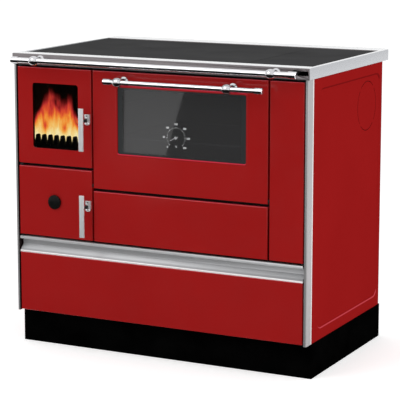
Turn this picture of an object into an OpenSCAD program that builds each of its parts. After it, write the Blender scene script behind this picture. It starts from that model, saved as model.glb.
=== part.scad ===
// Wood-burning cook stove with a fire door, an ash door, an oven and a fuel drawer.
// Millimetres. X runs to the right, Y to the back, Z up from the floor.
// The origin is on the floor, at the middle of the whole stove's width and depth.

/* [Overall] */
// Width of the top frame, the widest part of the stove
overall_w = 920; // [880:5:1100]
// Depth of the top frame from its front face to its rear edge
overall_d = 600; // [580:5:700]
// Height from the floor to the top of the frame
overall_h = 850; // [810:5:950]
// Depth of the body from the top frame's front face to the back panel
body_d = 541; // [520:1:570]

/* [Top frame and hob] */
// Height of the top frame
frame_h = 31; // [26:0.5:40]
// Thickness of the frame's sheet
frame_sheet = 2; // [1.5:0.1:3]
// Width of the frame in front of the hob
front_rim = 46; // [42:1:70]
// Width of the frame beside the hob
side_rim = 12; // [10:0.5:13]
// Width of the frame behind the hob
rear_rim = 70; // [60:1:115]
// Radius of the frame's two rear corners
rear_corner_r = 24; // [10:1:40]
// Width of the ledge that the hob plates lie on
ledge_w = 8; // [6:0.5:12]
// Thickness of the hob plates
hob_t = 6; // [4:0.5:8]
// Width of the smaller hob plate, on the right
hob_side_w = 201; // [120:1:300]
// Width of the seam between the hob plates
hob_seam = 3; // [1:0.5:6]
// Clearance between the hob plates and the frame
hob_gap = 1; // [0.5:0.25:2]

/* [Rail and oven handle] */
// Radius of the safety rail
rail_r = 7.8; // [6:0.1:9]
// Radius of the rail's end caps
rail_cap_r = 9.5; // [9.2:0.1:11]
// Length of one end cap on the rail and on the oven handle
cap_l = 23; // [15:1:35]
// Distance from the frame's front face to the rail's centre line
rail_reach = 38; // [34:1:50]
// Distance from the top of the frame down to the rail's centre line
rail_drop = 15.4; // [13:0.1:17]
// Distance from the frame's ends to the rail's ends
rail_inset = 21; // [5:1:40]
// Distance from the frame's ends to the middle of the rail brackets
rail_bracket_inset = 95; // [60:0.5:160]
// Radius of the rounded knuckles that hold the rail and the oven handle
knuckle_r = 13.5; // [12:0.1:15]
// Width of these knuckles
knuckle_w = 24; // [16:1:30]
// Radius of the oven handle's bar
bar_r = 6.8; // [5:0.1:8]
// Radius of the oven handle's end caps
bar_cap_r = 8.8; // [8.2:0.1:10]
// Distance from the oven door's face to the centre line of its handle
bar_reach = 40; // [35:1:50]
// Distance from the top of the oven door down to the handle's centre line
bar_drop = 24.5; // [18:0.5:34]
// Distance from the oven door's left edge to the handle's left end
bar_left = 58; // [10:1:80]
// Distance from the oven door's right edge to the handle's right end
bar_right = -3; // [-4:1:60]
// Distance from the handle's left end to the middle of its left bracket
bar_bracket_left = 44.25; // [36:0.25:70]
// Distance between the two brackets of the oven handle
bar_bracket_span = 334; // [200:1:360]

/* [Body] */
// Height of the plinth
plinth_h = 98; // [80:1:120]
// Distance from the frame's front face back to the plinth
plinth_recess = 37; // [30:1:60]
// Distance that the plinth stands out behind the back panel
plinth_back = 6; // [0:1:15]
// Thickness of the sheet of panels and plinth
sheet = 1.5; // [1:0.1:2]
// Width of a corner post's front face
post_face = 8.5; // [7:0.5:12]
// Depth of a corner post's side face
post_side = 36; // [28:1:45]
// Depth of the pressed recess in each side panel
emboss = 3; // [2:0.5:4]
// Corner radius of the pressed recess
emboss_r = 25; // [10:1:40]
// Radius of the round knock-out in the right side panel
knockout_r = 70; // [60:1:80]

/* [Front] */
// Distance of the doors behind the frame's front face
panel_recess = 2; // [1:0.5:4]
// Depth of a folded door or panel
panel_depth = 18; // [17:0.5:22]
// Gap between the columns of doors
column_gap = 5.25; // [4.5:0.25:8]
// Gap between the doors of a column
row_gap = 8.5; // [7:0.5:12]
// Gap between the top doors and the frame
top_gap = 7; // [6:0.5:12]
// Gap between the doors and a corner post
side_gap = 4; // [4:0.5:8]
// Gap between the drawer's grip and the doors above it
grip_gap = 6.5; // [6:0.5:10]
// Radius of the pressed front edges of doors and panels
edge_r = 2.5; // [1:0.5:4]
// Width of the fire door and the ash door, as a share of the whole front
fire_door_share = 0.27135; // [0.26:0.00001:0.28]
// Height of the ash door, as a share of the doors' zone
ash_door_share = 0.41238; // [0.38:0.00001:0.45]
// Width of the fire door's window, as a share of its door
fire_window_share = 0.62111; // [0.5:0.00001:0.64]
// Height of the fire door's window, as a share of its door
fire_window_h_share = 0.6728; // [0.5:0.00001:0.7]
// Width of the oven door, as a share of the whole front
oven_door_share = 0.60506; // [0.56:0.00001:0.61]
// Height of the oven door, as a share of the doors' zone
oven_door_h_share = 0.68634; // [0.64:0.00001:0.72]
// Width of the oven door's window, as a share of its door
oven_window_share = 0.73352; // [0.6:0.00001:0.76]
// Height of the oven door's window, as a share of its door
oven_window_h_share = 0.55889; // [0.45:0.00001:0.6]
// Radius of the doors' hinge pins
hinge_pin_r = 3; // [2:0.1:3.5]
// Running clearance between a pin and its bore
running = 0.05; // [0.02:0.01:0.1]

/* [Door handles] */
// Width of a door handle's flat strip
grip_strip_w = 15.4; // [12:0.1:20]
// Length of the strip
grip_strip_l = 121; // [90:1:150]
// Thickness of the strip
grip_strip_t = 3; // [2:0.5:5]
// Distance from the door's face to the front of the strip
grip_reach = 35; // [28:1:45]
// Distance from the top of the strip down to the pivot
grip_pivot = 36.5; // [25:0.5:50]
// Radius of the latch shaft
latch_shaft_r = 4; // [3:0.1:4.5]
// Length of the latch tongue below the shaft's centre
tongue_l = 24; // [18:1:30]
// Radius of the air knob
air_knob_r = 20.5; // [18:0.5:26]

/* [Drawer] */
// Height of the drawer's red front
drawer_front_h = 171; // [150:1:180]
// Height of the grip profile above it
grip_h = 46.5; // [40:0.5:52]
// Depth of the drawer front and of its grip profile
drawer_face_d = 20; // [18:0.5:22]
// Depth of the finger channel in the grip profile
channel_d = 17; // [12:0.5:18]
// Length of the drawer's box
drawer_l = 450; // [350:5:460]
// Height of the drawer's box
drawer_box_h = 142; // [100:1:150]
// Thickness of the drawer's sheet
drawer_t = 1.2; // [1:0.1:2]

/* [Inside] */
// Thickness of the front plate behind the doors
plate_t = 2.5; // [2:0.1:4]
// Thickness of the casing's and the oven's sheet
casing_t = 2; // [1.5:0.1:3]
// Thickness of the firebricks
brick_t = 25; // [20:1:30]
// Width of the oven's cavity, as a share of its door
oven_w_share = 0.86351; // [0.75:0.00001:0.87]
// Depth of the smoke channel behind the oven
rear_channel = 73.5; // [60:0.5:90]
// Height of the oven's cavity, as a share of its door
oven_h_share = 0.917; // [0.8:0.001:0.918]
// Height of the smoke channel under the oven
low_channel_h = 58; // [45:1:70]
// Radius of the flue spigot
spigot_r = 60; // [50:1:60]
// Distance that the flue spigot stands out behind the back panel
spigot_out = 49; // [40:1:54]
// Turning angle of the damper lever
damper_turn = 12; // [8:0.5:13]

/* [Hidden] */
$fn = 48;

// Rounds a length that comes from a share to a hundredth of a millimetre
function to_hundredth(v) = round(100 * v) / 100;

// Levels above the floor
body_top = overall_h - frame_h;
doors_top = body_top - top_gap;
drawer_gap = 3.5;
drawer_bottom = plinth_h + drawer_gap;
drawer_top = drawer_bottom + drawer_front_h;
fit_gap = 0.3;
grip_bottom = drawer_top + fit_gap;
grip_top = grip_bottom + grip_h;
ash_bottom = grip_top + grip_gap;
ash_door_h = to_hundredth(ash_door_share * (doors_top - ash_bottom));
oven_door_h = to_hundredth(oven_door_h_share * (doors_top - ash_bottom));
ash_top = ash_bottom + ash_door_h;
fire_bottom = ash_top + row_gap;
fire_door_h = doors_top - fire_bottom;
oven_bottom = doors_top - oven_door_h;
low_panel_top = oven_bottom - row_gap;

// Places from front to back
proud = rail_reach + knuckle_r;
front_y = -(overall_d + proud) / 2 + proud;
rear_y = front_y + overall_d;
face_y = front_y + panel_recess;
door_back = face_y + panel_depth;
seal_gap = 5;
plate_y = door_back + seal_gap;
casing_y = plate_y + plate_t;
body_back = front_y + body_d;
rear_space = 16;
casing_back = body_back - rear_space;
post_set = 1;
post_back = front_y + post_set + post_side;
plinth_y = front_y + plinth_recess;

// Places from left to right
frame_lap = 2.5;
post_x = overall_w / 2 - frame_lap;
panel_x = post_x - 0.5;
post_in = post_x - post_face;
front_half = post_in - side_gap;
fire_door_w = to_hundredth(2 * front_half * fire_door_share);
oven_door_w = to_hundredth(2 * front_half * oven_door_share);
fire_l = -front_half;
fire_r = fire_l + fire_door_w;
oven_l = fire_r + column_gap;
oven_r = oven_l + oven_door_w;
right_l = oven_r + column_gap;
right_r = front_half;
casing_x = panel_x - 11;
casing_in = casing_x - casing_t;

// Inside of the stove
fire_wall_r = oven_l - 9.75;
fire_wall_l = fire_wall_r - casing_t;
oven_w = to_hundredth(oven_door_w * oven_w_share);
oven_h = to_hundredth(oven_door_h * oven_h_share);
oven_in_l = oven_l + to_hundredth(oven_door_w * 0.06175);
oven_in_r = oven_in_l + oven_w;
oven_top = doors_top - 16;
oven_floor = oven_top - oven_h;
seat_top = oven_top + casing_t;
oven_back = casing_back - rear_channel;
low_floor = oven_floor - casing_t - low_channel_h;
fire_floor = fire_bottom - 6;
ash_floor = ash_bottom + 15.5;
fire_in_l = -casing_in + brick_t;
fire_in_r = fire_wall_l - brick_t;
fire_open = [[fire_in_l + 3, fire_bottom + 15], [fire_in_r - 5, doors_top - 15]];
ash_open = [[fire_in_l + 3, ash_floor + 0.5], [fire_in_r - 5, ash_top - 18.5]];
oven_open = [[oven_in_l, oven_floor], [oven_in_r, oven_top]];
drawer_clear = drawer_face_d + 1.5;
drawer_side_gap = 18;
ash_pan_h = 62;
guard_h = 61;
partition_foot = 40;
soot_l = oven_in_l + to_hundredth(oven_w * 0.34409);
soot_w = to_hundredth(oven_w * 0.30107);
soot_lap = 10;
soot_cover_drop = 18;

// Hob opening in the top frame
hob_l = -overall_w / 2 + side_rim;
hob_r = overall_w / 2 - side_rim;
hob_front = front_y + front_rim;
hob_back = rear_y - rear_rim;
frame_recess = 2;
ledge_top = overall_h - frame_recess - hob_t;
ledge_bottom = ledge_top - frame_sheet;
seam_x = hob_r - hob_gap - hob_side_w - hob_seam / 2;

// Windows, as corners in x and z
fire_window_w = to_hundredth(fire_door_w * fire_window_share);
fire_window_h = to_hundredth(fire_door_h * fire_window_h_share);
fire_window_l = fire_l + to_hundredth(fire_door_w * 0.2029);
fire_window_z = fire_bottom + to_hundredth(fire_door_h * 0.16775);
fire_window = [[fire_window_l, fire_window_z],
               [fire_window_l + fire_window_w, fire_window_z + fire_window_h]];
oven_window_w = to_hundredth(oven_door_w * oven_window_share);
oven_window_h = to_hundredth(oven_door_h * oven_window_h_share);
oven_window_l = oven_l + to_hundredth(oven_door_w * 0.14717);
oven_window_z = oven_bottom + to_hundredth(oven_door_h * 0.31226);
oven_window = [[oven_window_l, oven_window_z],
               [oven_window_l + oven_window_w, oven_window_z + oven_window_h]];
window_r = 8;
glass_t = 4;
glass_lap = 12;

// Hinges
hinge_inset = 7;
hinge_x = fire_l + hinge_inset;
hinge_y = face_y + hinge_inset;
oven_hinge_z = oven_bottom + hinge_inset;
bush_r = 5;
bush_l = 10;
pin_reach = 9;
lug_r = 6;
lug_gap = 1.5;

// Latches
latch_x = fire_r - 14.2;
fire_latch_z = fire_bottom + to_hundredth(fire_door_h * 0.49062);
ash_latch_z = ash_bottom + to_hundredth(ash_door_h * 0.49128);
tongue_w = 9;
tongue_t = 5;
slot_gap = 2.5;
strip_r = fire_wall_l + 1;
bracket_shift = 3.5;

// Air control
air_x = fire_l + to_hundredth(fire_door_w * 0.49689);
air_z = ash_bottom + to_hundredth(ash_door_h * 0.51122);
air_shaft_r = 4;
air_hole_r = 3.3;
air_ring_r = 13;
shutter_r = 19;

// Thermometer
dial_x = oven_window_l + to_hundredth(oven_window_w * 0.46203);
dial_z = oven_window_z + to_hundredth(oven_window_h * 0.30563);
pointer_rest = 205;

// Flue
spigot_t = 2;
spigot_x = casing_in - spigot_r - 6;
flue_drop = 117;
spigot_z = body_top - flue_drop;
spigot_end = body_back + spigot_out;

// Damper: the lever turns about an upright pin and swings a blade over an opening
slot_l = casing_x - 27.5;
slot_r = overall_w / 2 - 4;
slot_z = [overall_h - 20.5, overall_h - 8.5];
pivot_in = 32;
pivot_back = 110;
pivot = [casing_in - pivot_in, front_y + pivot_back];
knob_rest = [slot_l + 7, front_y - 17.5];
lever_z = overall_h - 14.5;
arm_r = norm(knob_rest - pivot);
arm_turn = atan2(knob_rest[0] - pivot[0], pivot[1] - knob_rest[1]);
blade_back = 95;
blade_y = casing_back - blade_back;
blade_w = 62;
blade_l = 116;
blade_lift = 0.3;
blade_t = 3;
partition_gap = 70;
damper_mouth_x = 42;

red = [0.55, 0.08, 0.08];
steel = [0.78, 0.79, 0.80];
chrome = [0.88, 0.88, 0.90];
black = [0.06, 0.06, 0.07];
iron = [0.20, 0.20, 0.21];

// Box between two corners
module block(lo, hi) {
    translate(lo) cube(hi - lo);
}

// Flat rectangle with true round corners
module round_rect(lo, hi, r) {
    translate([lo[0] + r, lo[1]]) square([hi[0] - lo[0] - 2 * r, hi[1] - lo[1]]);
    translate([lo[0], lo[1] + r]) square([hi[0] - lo[0], hi[1] - lo[1] - 2 * r]);
    for (x = [lo[0] + r, hi[0] - r], y = [lo[1] + r, hi[1] - r])
        translate([x, y]) circle(r);
}

// Flat rectangle between two corners
module flat_rect(lo, hi) {
    translate(lo) square(hi - lo);
}

// Stands an outline drawn in x and z between a front and a back plane
module upright(front, back) {
    translate([0, back, 0]) rotate([90, 0, 0]) linear_extrude(back - front) children();
}

// Stands an outline drawn in y and z between a left and a right plane
module sideways(left, right) {
    translate([left, 0, 0]) rotate([90, 0, 90]) linear_extrude(right - left) children();
}

// Lays an outline drawn in x and y between two levels
module level(low, high) {
    translate([0, 0, low]) linear_extrude(high - low) children();
}

// Round bar along X, along Y or along Z, from a start point
module bar_x(p, l, r) {
    translate(p) rotate([0, 90, 0]) cylinder(h = l, r = r);
}
module bar_y(p, l, r) {
    translate(p) rotate([-90, 0, 0]) cylinder(h = l, r = r);
}
module bar_z(p, l, r) {
    translate(p) cylinder(h = l, r = r);
}

// Flat outline of a slab whose two front corners are round
module front_rounded(lo, hi, r) {
    flat_rect([lo[0] + r, lo[1]], [hi[0] - r, hi[1]]);
    flat_rect([lo[0], lo[1] + r], hi);
    for (x = [lo[0] + r, hi[0] - r]) translate([x, lo[1] + r]) circle(r);
}

// Solid with pressed front edges, between two corners in x and z
module pressed_slab(lo, hi, front, back, r) {
    intersection() {
        level(lo[1], hi[1]) front_rounded([lo[0], front], [hi[0], back], r);
        sideways(lo[0], hi[0])
            mirror([1, -1]) front_rounded([lo[1], front], [hi[1], back], r);
    }
}

// Folded sheet pan, open at the back
module pan(lo, hi, depth) {
    wall = [sheet, sheet];
    difference() {
        pressed_slab(lo, hi, face_y, face_y + depth, edge_r);
        upright(face_y + sheet, face_y + depth + 1) flat_rect(lo + wall, hi - wall);
    }
}

// Ring between two rounded rectangles, grown from an opening
module ring(open, inner, outer, r) {
    difference() {
        round_rect(open[0] - [outer, outer], open[1] + [outer, outer], r + outer);
        round_rect(open[0] - [inner, inner], open[1] + [inner, inner], r + inner);
    }
}

// Rounded knuckle along X, thickest in the middle
module knuckle(p, r, w) {
    crown = w * 0.85;
    translate(p) rotate([0, 90, 0]) rotate_extrude() intersection() {
        translate([r - crown, 0]) circle(crown);
        translate([0, -w / 2]) square([r, w]);
    }
}

// Cast bracket that holds a bar in front of a face: foot, neck and bored knuckle
module bar_bracket(x, z, base_y, reach, hole_r) {
    foot_r = knuckle_r - 1;
    neck_r = 6.5;
    difference() {
        union() {
            bar_y([x, base_y - 3, z], 3, foot_r);
            translate([x, base_y - 3, z]) rotate([90, 0, 0]) cylinder(h = 5, r1 = foot_r, r2 = neck_r);
            bar_y([x, base_y - reach, z], reach - 3, neck_r);
            knuckle([x, base_y - reach, z], knuckle_r, knuckle_w);
        }
        bar_x([x - knuckle_w, base_y - reach, z], 2 * knuckle_w, hole_r + running);
    }
}

// Round bar with a thicker cap on each end
module capped_bar(x0, x1, y, z, r, cap_r) {
    nose = 1.5;
    bar_x([x0 + cap_l - 1, y, z], x1 - x0 - 2 * cap_l + 2, r);
    for (x = [x0 + nose, x1 - cap_l]) bar_x([x, y, z], cap_l - nose, cap_r);
    translate([x0 + nose, y, z]) rotate([0, -90, 0]) cylinder(h = nose, r1 = cap_r, r2 = cap_r - nose);
    translate([x1 - nose, y, z]) rotate([0, 90, 0]) cylinder(h = nose, r1 = cap_r, r2 = cap_r - nose);
}

// Plinth, a folded sheet frame with a flange inside its top and bottom edge
module plinth() {
    half = panel_x + 1;
    back = body_back + plinth_back;
    flange = 20;
    color(black) difference() {
        block([-half, plinth_y, 0], [half, back, plinth_h]);
        block([-half + sheet, plinth_y + sheet, sheet], [half - sheet, back - sheet, plinth_h - sheet]);
        block([-half + flange, plinth_y + flange, -1], [half - flange, back - flange, plinth_h + 1]);
    }
}

// Floor sheet that closes the body above the plinth
module base_plate() {
    half = panel_x - sheet;
    color(iron) block([-half, post_back, plinth_h], [half, body_back - 2 * sheet, plinth_h + casing_t]);
}

// Hollow corner post with a round outer edge
module corner_post(side) {
    r = 6;
    wall = 2;
    y0 = front_y + post_set;
    color(steel) scale([side, 1, 1]) level(plinth_h, body_top) difference() {
        union() {
            flat_rect([post_in, y0], [post_x - r, post_back]);
            flat_rect([post_in, y0 + r], [post_x, post_back]);
            intersection() {
                translate([post_x - r, y0 + r]) circle(r);
                flat_rect([post_x - r, y0], [post_x, y0 + r]);
            }
        }
        flat_rect([post_in + wall, y0 + r], [post_x - wall, post_back - wall]);
    }
}

// Corners of a side panel's pressed recess, in y and z
recess_lo = [post_back + 42, plinth_h + 33];
recess_hi = [body_back - 19, body_top - 35];
knockout_front = 112;
knockout_c = [body_back - knockout_front, body_top - flue_drop];

// Thin slice of the recess outline, grown by a margin, at one x
module recess_slice(x, grow) {
    margin = [grow, grow];
    sideways(x, x + 0.01)
        round_rect(recess_lo - margin, recess_hi + margin, emboss_r + grow, $fn = 32);
}

// Side panel, a sheet with folded edges and a pressed recess
module side_panel_right() {
    slope = 5;
    fold = 8;
    inner = panel_x - sheet;
    difference() {
        union() {
            sideways(inner, panel_x) flat_rect([post_back, plinth_h], [body_back - sheet, body_top]);
            for (y = [post_back, body_back - 2 * sheet])
                block([panel_x - fold, y, plinth_h + casing_t], [inner + 0.1, y + sheet, body_top]);
            hull() {
                recess_slice(inner, sheet + slope);
                recess_slice(inner - emboss, sheet);
            }
        }
        hull() {
            recess_slice(panel_x, slope);
            recess_slice(panel_x - emboss, 0);
        }
    }
}

// Four slots that mark the knock-out and leave four bridges between them
module knockout_slots() {
    slot = 1.5;
    bridge = 12;
    sideways(panel_x - 10, panel_x + 1) translate(knockout_c) difference() {
        circle(knockout_r + slot / 2);
        circle(knockout_r - slot / 2);
        for (a = [45:90:315]) rotate(a) translate([knockout_r - 5, -bridge / 2]) square([10, bridge]);
    }
}

module left_side_panel() {
    color(red) scale([-1, 1, 1]) side_panel_right();
}

module right_side_panel() {
    color(red) difference() {
        side_panel_right();
        knockout_slots();
    }
}

// Back panel with the hole for the flue
module back_panel() {
    half = panel_x;
    clear = 3;
    color(iron) difference() {
        block([-half, body_back - sheet, plinth_h], [half, body_back, body_top]);
        bar_y([spigot_x, body_back - 10, spigot_z], 20, spigot_r + clear);
    }
}

// Outline of the top frame, crisp in front and round at the rear
module frame_outline() {
    w = overall_w / 2;
    r = rear_corner_r;
    flat_rect([-w, front_y], [w, rear_y - r]);
    flat_rect([-w + r, front_y], [w - r, rear_y]);
    for (x = [-w + r, w - r]) translate([x, rear_y - r]) circle(r);
}

// Same outline, one sheet smaller all round
module frame_outline_inner() {
    w = overall_w / 2 - frame_sheet;
    r = rear_corner_r - frame_sheet;
    back = rear_y - frame_sheet;
    flat_rect([-w, front_y + frame_sheet], [w, back - r]);
    flat_rect([-w + r, front_y + frame_sheet], [w - r, back]);
    for (x = [-w + r, w - r]) translate([x, back - r]) circle(r);
}

// Top frame, a folded hollow rim with a ledge for the hob and a flange under it
module top_frame() {
    flange = 10;
    color(steel) difference() {
        union() {
            difference() {
                level(body_top, overall_h) frame_outline();
                level(body_top + frame_sheet, overall_h - frame_sheet) frame_outline_inner();
                block([-overall_w / 2 + flange, front_y + flange, body_top - 1],
                      [overall_w / 2 - flange, body_back - 6, body_top + frame_sheet + 1]);
            }
            block([hob_l - frame_sheet, hob_front - frame_sheet, ledge_bottom],
                  [hob_r + frame_sheet, hob_back + frame_sheet, overall_h - 0.5]);
        }
        block([hob_l, hob_front, ledge_top], [hob_r, hob_back, overall_h + 1]);
        block([hob_l + ledge_w, hob_front + ledge_w, body_top],
              [hob_r - ledge_w, hob_back - ledge_w, overall_h]);
        upright(front_y - 1, front_y + frame_sheet + 1)
            round_rect([slot_l, slot_z[0]], [slot_r, slot_z[1]], 2);
    }
}

// Left hob plate with its lifting hole
module hob_plate() {
    hole_r = 4;
    hole_back = 45;
    plate_w = seam_x - hob_seam / 2 - hob_l - hob_gap;
    color(iron) difference() {
        level(ledge_top, ledge_top + hob_t)
            round_rect([hob_l + hob_gap, hob_front + hob_gap], [seam_x - hob_seam / 2, hob_back - hob_gap], 2);
        bar_z([hob_l + hob_gap + 0.3672 * plate_w, (hob_front + hob_back) / 2 + hole_back, ledge_top - 1],
              hob_t + 2, hole_r);
    }
}

// Right hob plate
module hob_side_plate() {
    color(iron) level(ledge_top, ledge_top + hob_t)
        round_rect([seam_x + hob_seam / 2, hob_front + hob_gap], [hob_r - hob_gap, hob_back - hob_gap], 2);
}

// Bar between the front and the rear ledge that carries both plates at the seam
module hob_bridge() {
    half = 14;
    web = 3;
    front = hob_front + ledge_w;
    back = hob_back - ledge_w;
    color(iron) {
        block([seam_x - half, front, ledge_top - 3], [seam_x + half, back, ledge_top]);
        block([seam_x - web, front, ledge_top - 12], [seam_x + web, back, ledge_top - 2.9]);
    }
}

// Mouth in the front plate, widened to the right for a latch strip
module latched_mouth(open) {
    round_rect(open[0], open[1], 6);
    flat_rect([open[1][0] - 10, open[0][1]], [strip_r, open[1][1]]);
}

// Front plate behind the doors, with their openings
module front_frame() {
    stile = 14;
    low = grip_top + lug_gap;
    top = overall_h - frame_sheet;
    color(black) difference() {
        upright(plate_y, casing_y) difference() {
            flat_rect([-casing_x, plinth_h + casing_t], [casing_x, top]);
            flat_rect([-casing_x + stile, plinth_h], [casing_x - stile, low]);
            latched_mouth(fire_open);
            latched_mouth(ash_open);
            flat_rect(oven_open[0], oven_open[1]);
            flat_rect([soot_l, low_floor + 6], [soot_l + soot_w, low_floor + low_channel_h - 24]);
            flat_rect([slot_l - 10, slot_z[0] - 2], [casing_x + 1, top + 1]);
        }
    }
}

// Strip beside a mouth, with the slot that a latch tongue goes through
module latch_strip(open, z) {
    upright(plate_y, casing_y) difference() {
        flat_rect([open[1][0], open[0][1]], [strip_r, open[1][1]]);
        flat_rect([latch_x - tongue_w / 2 - slot_gap, z - tongue_l - slot_gap],
                  [latch_x + tongue_w / 2 + slot_gap, z + latch_shaft_r + slot_gap + 2]);
    }
}

module latch_strips() {
    color(black) {
        latch_strip(fire_open, fire_latch_z);
        latch_strip(ash_open, ash_latch_z);
    }
}

// Fixed front panel, a folded pan with four studs that seat on the front plate
module fixed_panel(lo, hi) {
    inset = 24;
    stud_r = 5;
    color(red) {
        pan(lo, hi, panel_depth);
        for (x = [lo[0] + inset, hi[0] - inset], z = [lo[1] + inset, hi[1] - inset])
            bar_y([x, face_y + sheet - 0.1, z], plate_y - face_y - sheet + 0.1, stud_r);
    }
}

module lower_front_panel() {
    fixed_panel([oven_l, ash_bottom], [oven_r, low_panel_top]);
}

module right_front_panel() {
    fixed_panel([right_l, ash_bottom], [right_r, doors_top]);
}

// Hinge lug in a gap between doors, with its pin
module door_lug(z0, z1, pin_low, pin_high) {
    color(black) {
        level(z0, z1) {
            translate([hinge_x, hinge_y]) circle(lug_r);
            flat_rect([hinge_x - lug_r, hinge_y], [hinge_x + lug_r, plate_y]);
        }
        bar_z([hinge_x, hinge_y, pin_low], pin_high - pin_low, hinge_pin_r);
    }
}

module left_door_hinges() {
    door_lug(grip_top + lug_gap, ash_bottom - lug_gap, grip_top + lug_gap, ash_bottom + pin_reach);
    door_lug(ash_top + lug_gap, fire_bottom - lug_gap, ash_top - pin_reach, fire_bottom + pin_reach);
    door_lug(doors_top + lug_gap, body_top - lug_gap, doors_top - pin_reach, body_top - lug_gap);
}

// Hinge lug beside the oven door, with its pin
module oven_lug(x0, x1, pin_l, pin_r) {
    sideways(x0, x1) {
        translate([hinge_y, oven_hinge_z]) circle(lug_r);
        flat_rect([hinge_y, oven_hinge_z - lug_r], [plate_y, oven_hinge_z + lug_r]);
    }
    bar_x([pin_l, hinge_y, oven_hinge_z], pin_r - pin_l, hinge_pin_r);
}

module oven_door_hinges() {
    gap = 1;
    color(black) {
        oven_lug(fire_r + gap, oven_l - gap, fire_r + gap, oven_l + pin_reach);
        oven_lug(oven_r + gap, right_l - gap, oven_r - pin_reach, right_l - gap);
    }
}

// Safety rail in front of the top frame
rail_z = overall_h - rail_drop;
rail_x = overall_w / 2 - rail_inset;

module safety_rail() {
    color(chrome) capped_bar(-rail_x, rail_x, front_y - rail_reach, rail_z, rail_r, rail_cap_r);
}

module rail_brackets() {
    x = overall_w / 2 - rail_bracket_inset;
    color(chrome) for (side = [-1, 1])
        bar_bracket(side * x, rail_z, front_y, rail_reach, rail_r);
}

// Steel casing round the fire, the ash, the oven and the smoke channels
module inner_casing() {
    grate_lap = 12;
    t = casing_t;
    color(iron) difference() {
        union() {
            for (x = [-casing_x, casing_in])
                block([x, casing_y, x < 0 ? ash_floor - t : low_floor - t], [x + t, casing_back, ledge_bottom]);
            block([-casing_x, casing_back - t, ash_floor - t], [fire_wall_r, casing_back, ledge_bottom]);
            block([fire_wall_l, casing_back - t, low_floor - t], [casing_x, casing_back, ledge_bottom]);
            block([fire_wall_l, casing_y, ash_floor - t], [fire_wall_r, casing_back, seat_top]);
            block([-casing_x, casing_y, ash_floor - t], [fire_wall_r, casing_back, ash_floor]);
            block([-casing_x, casing_y, fire_floor - t], [fire_wall_r, casing_back, fire_floor]);
            block([fire_wall_l, casing_y, low_floor - t], [casing_x, casing_back, low_floor]);
        }
        block([fire_in_l + grate_lap, grate_y0 + grate_lap, fire_floor - 10],
              [fire_in_r - grate_lap, grate_y1 - grate_lap, fire_floor + 5]);
        bar_y([spigot_x, casing_back - 10, spigot_z], 20, spigot_r - spigot_t);
    }
}

// Bricks that line the firebox: two courses on each side and at the back
brick_y0 = casing_y + 26;
brick_y1 = casing_back - casing_t - brick_t;
brick_top = seat_top - 18;
joint = 0.8;

module brick_wall(lo, hi, along, count) {
    courses = 2;
    step = (hi[along] - lo[along] + joint) / count;
    rise = (hi[2] - lo[2] + joint) / courses;
    for (i = [0 : count - 1], k = [0 : courses - 1])
        block([along == 0 ? lo[0] + i * step : lo[0], along == 1 ? lo[1] + i * step : lo[1],
               lo[2] + k * rise],
              [along == 0 ? lo[0] + (i + 1) * step - joint : hi[0],
               along == 1 ? lo[1] + (i + 1) * step - joint : hi[1],
               lo[2] + (k + 1) * rise - joint]);
}

module firebricks() {
    color([0.62, 0.52, 0.40]) {
        brick_wall([-casing_in, brick_y0, fire_floor], [fire_in_l, brick_y1, brick_top], 1, 3);
        brick_wall([fire_in_r, brick_y0, fire_floor], [fire_wall_l, brick_y1, brick_top], 1, 3);
        brick_wall([-casing_in, brick_y1 + joint, fire_floor],
                   [fire_wall_l, casing_back - casing_t, brick_top], 0, 2);
    }
}

// Cast grate with rows of slots, on the firebox floor
grate_y0 = brick_y0 + 25;
grate_y1 = brick_y1 - 40;
grate_t = 12;

module fire_grate() {
    edge = 12;
    slot = 9;
    bar = 8;
    lo = [fire_in_l + 1, grate_y0];
    hi = [fire_in_r - 1, grate_y1];
    mid = (lo[0] + hi[0]) / 2;
    rows = floor((hi[1] - lo[1] - 2 * edge + bar) / (slot + bar));
    start = (lo[1] + hi[1] - rows * (slot + bar) + bar) / 2;
    color(iron) difference() {
        level(fire_floor, fire_floor + grate_t) round_rect(lo, hi, 6);
        for (i = [0 : rows - 1]) level(fire_floor - 1, fire_floor + grate_t + 1) {
            y = start + i * (slot + bar);
            round_rect([lo[0] + edge, y], [mid - bar / 2, y + slot], slot / 2 - 0.1);
            round_rect([mid + bar / 2, y], [hi[0] - edge, y + slot], slot / 2 - 0.1);
        }
    }
}

// Toothed cast bar behind the fire door's mouth that keeps logs off the door
module log_guard() {
    pitch = 20.5;
    tip_r = 5;
    foot_w = 18;
    tooth_h = 27;
    thick = 10;
    plain_end = 12;
    y = casing_y + 3;
    lo = -casing_in + fit_gap;
    hi = fire_wall_l - fit_gap;
    root_z = fire_floor + guard_h;
    count = floor((hi - lo - foot_w - 2 * plain_end) / pitch) + 1;
    start = (lo + hi - (count - 1) * pitch) / 2;
    color(iron) upright(y, y + thick) {
        flat_rect([lo, fire_floor], [hi, root_z]);
        for (i = [0 : count - 1]) translate([start + i * pitch, root_z]) {
            polygon([[-foot_w / 2, -1], [foot_w / 2, -1], [tip_r, tooth_h - tip_r], [-tip_r, tooth_h - tip_r]]);
            translate([0, tooth_h - tip_r]) circle(tip_r);
        }
    }
}

// Ash pan with a bail on its front
module ash_pan() {
    lo = [ash_open[0][0] + 3, casing_y + 14, ash_floor + fit_gap];
    hi = [ash_open[1][0] - 3, grate_y1 + 10, ash_floor + ash_pan_h];
    mid = (lo[0] + hi[0]) / 2;
    z = hi[2] - 18;
    half = 32;
    out = 10;
    rod = 3;
    color(iron) {
        difference() {
            block(lo, hi);
            block(lo + [sheet, sheet, sheet], hi + [-sheet, -sheet, 1]);
        }
        for (x = [mid - half, mid + half]) bar_y([x, lo[1] - out, z], out + 0.2, rod);
        bar_x([mid - half, lo[1] - out, z], 2 * half, rod);
        for (x = [mid - half, mid + half]) translate([x, lo[1] - out, z]) sphere(rod);
    }
}

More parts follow.
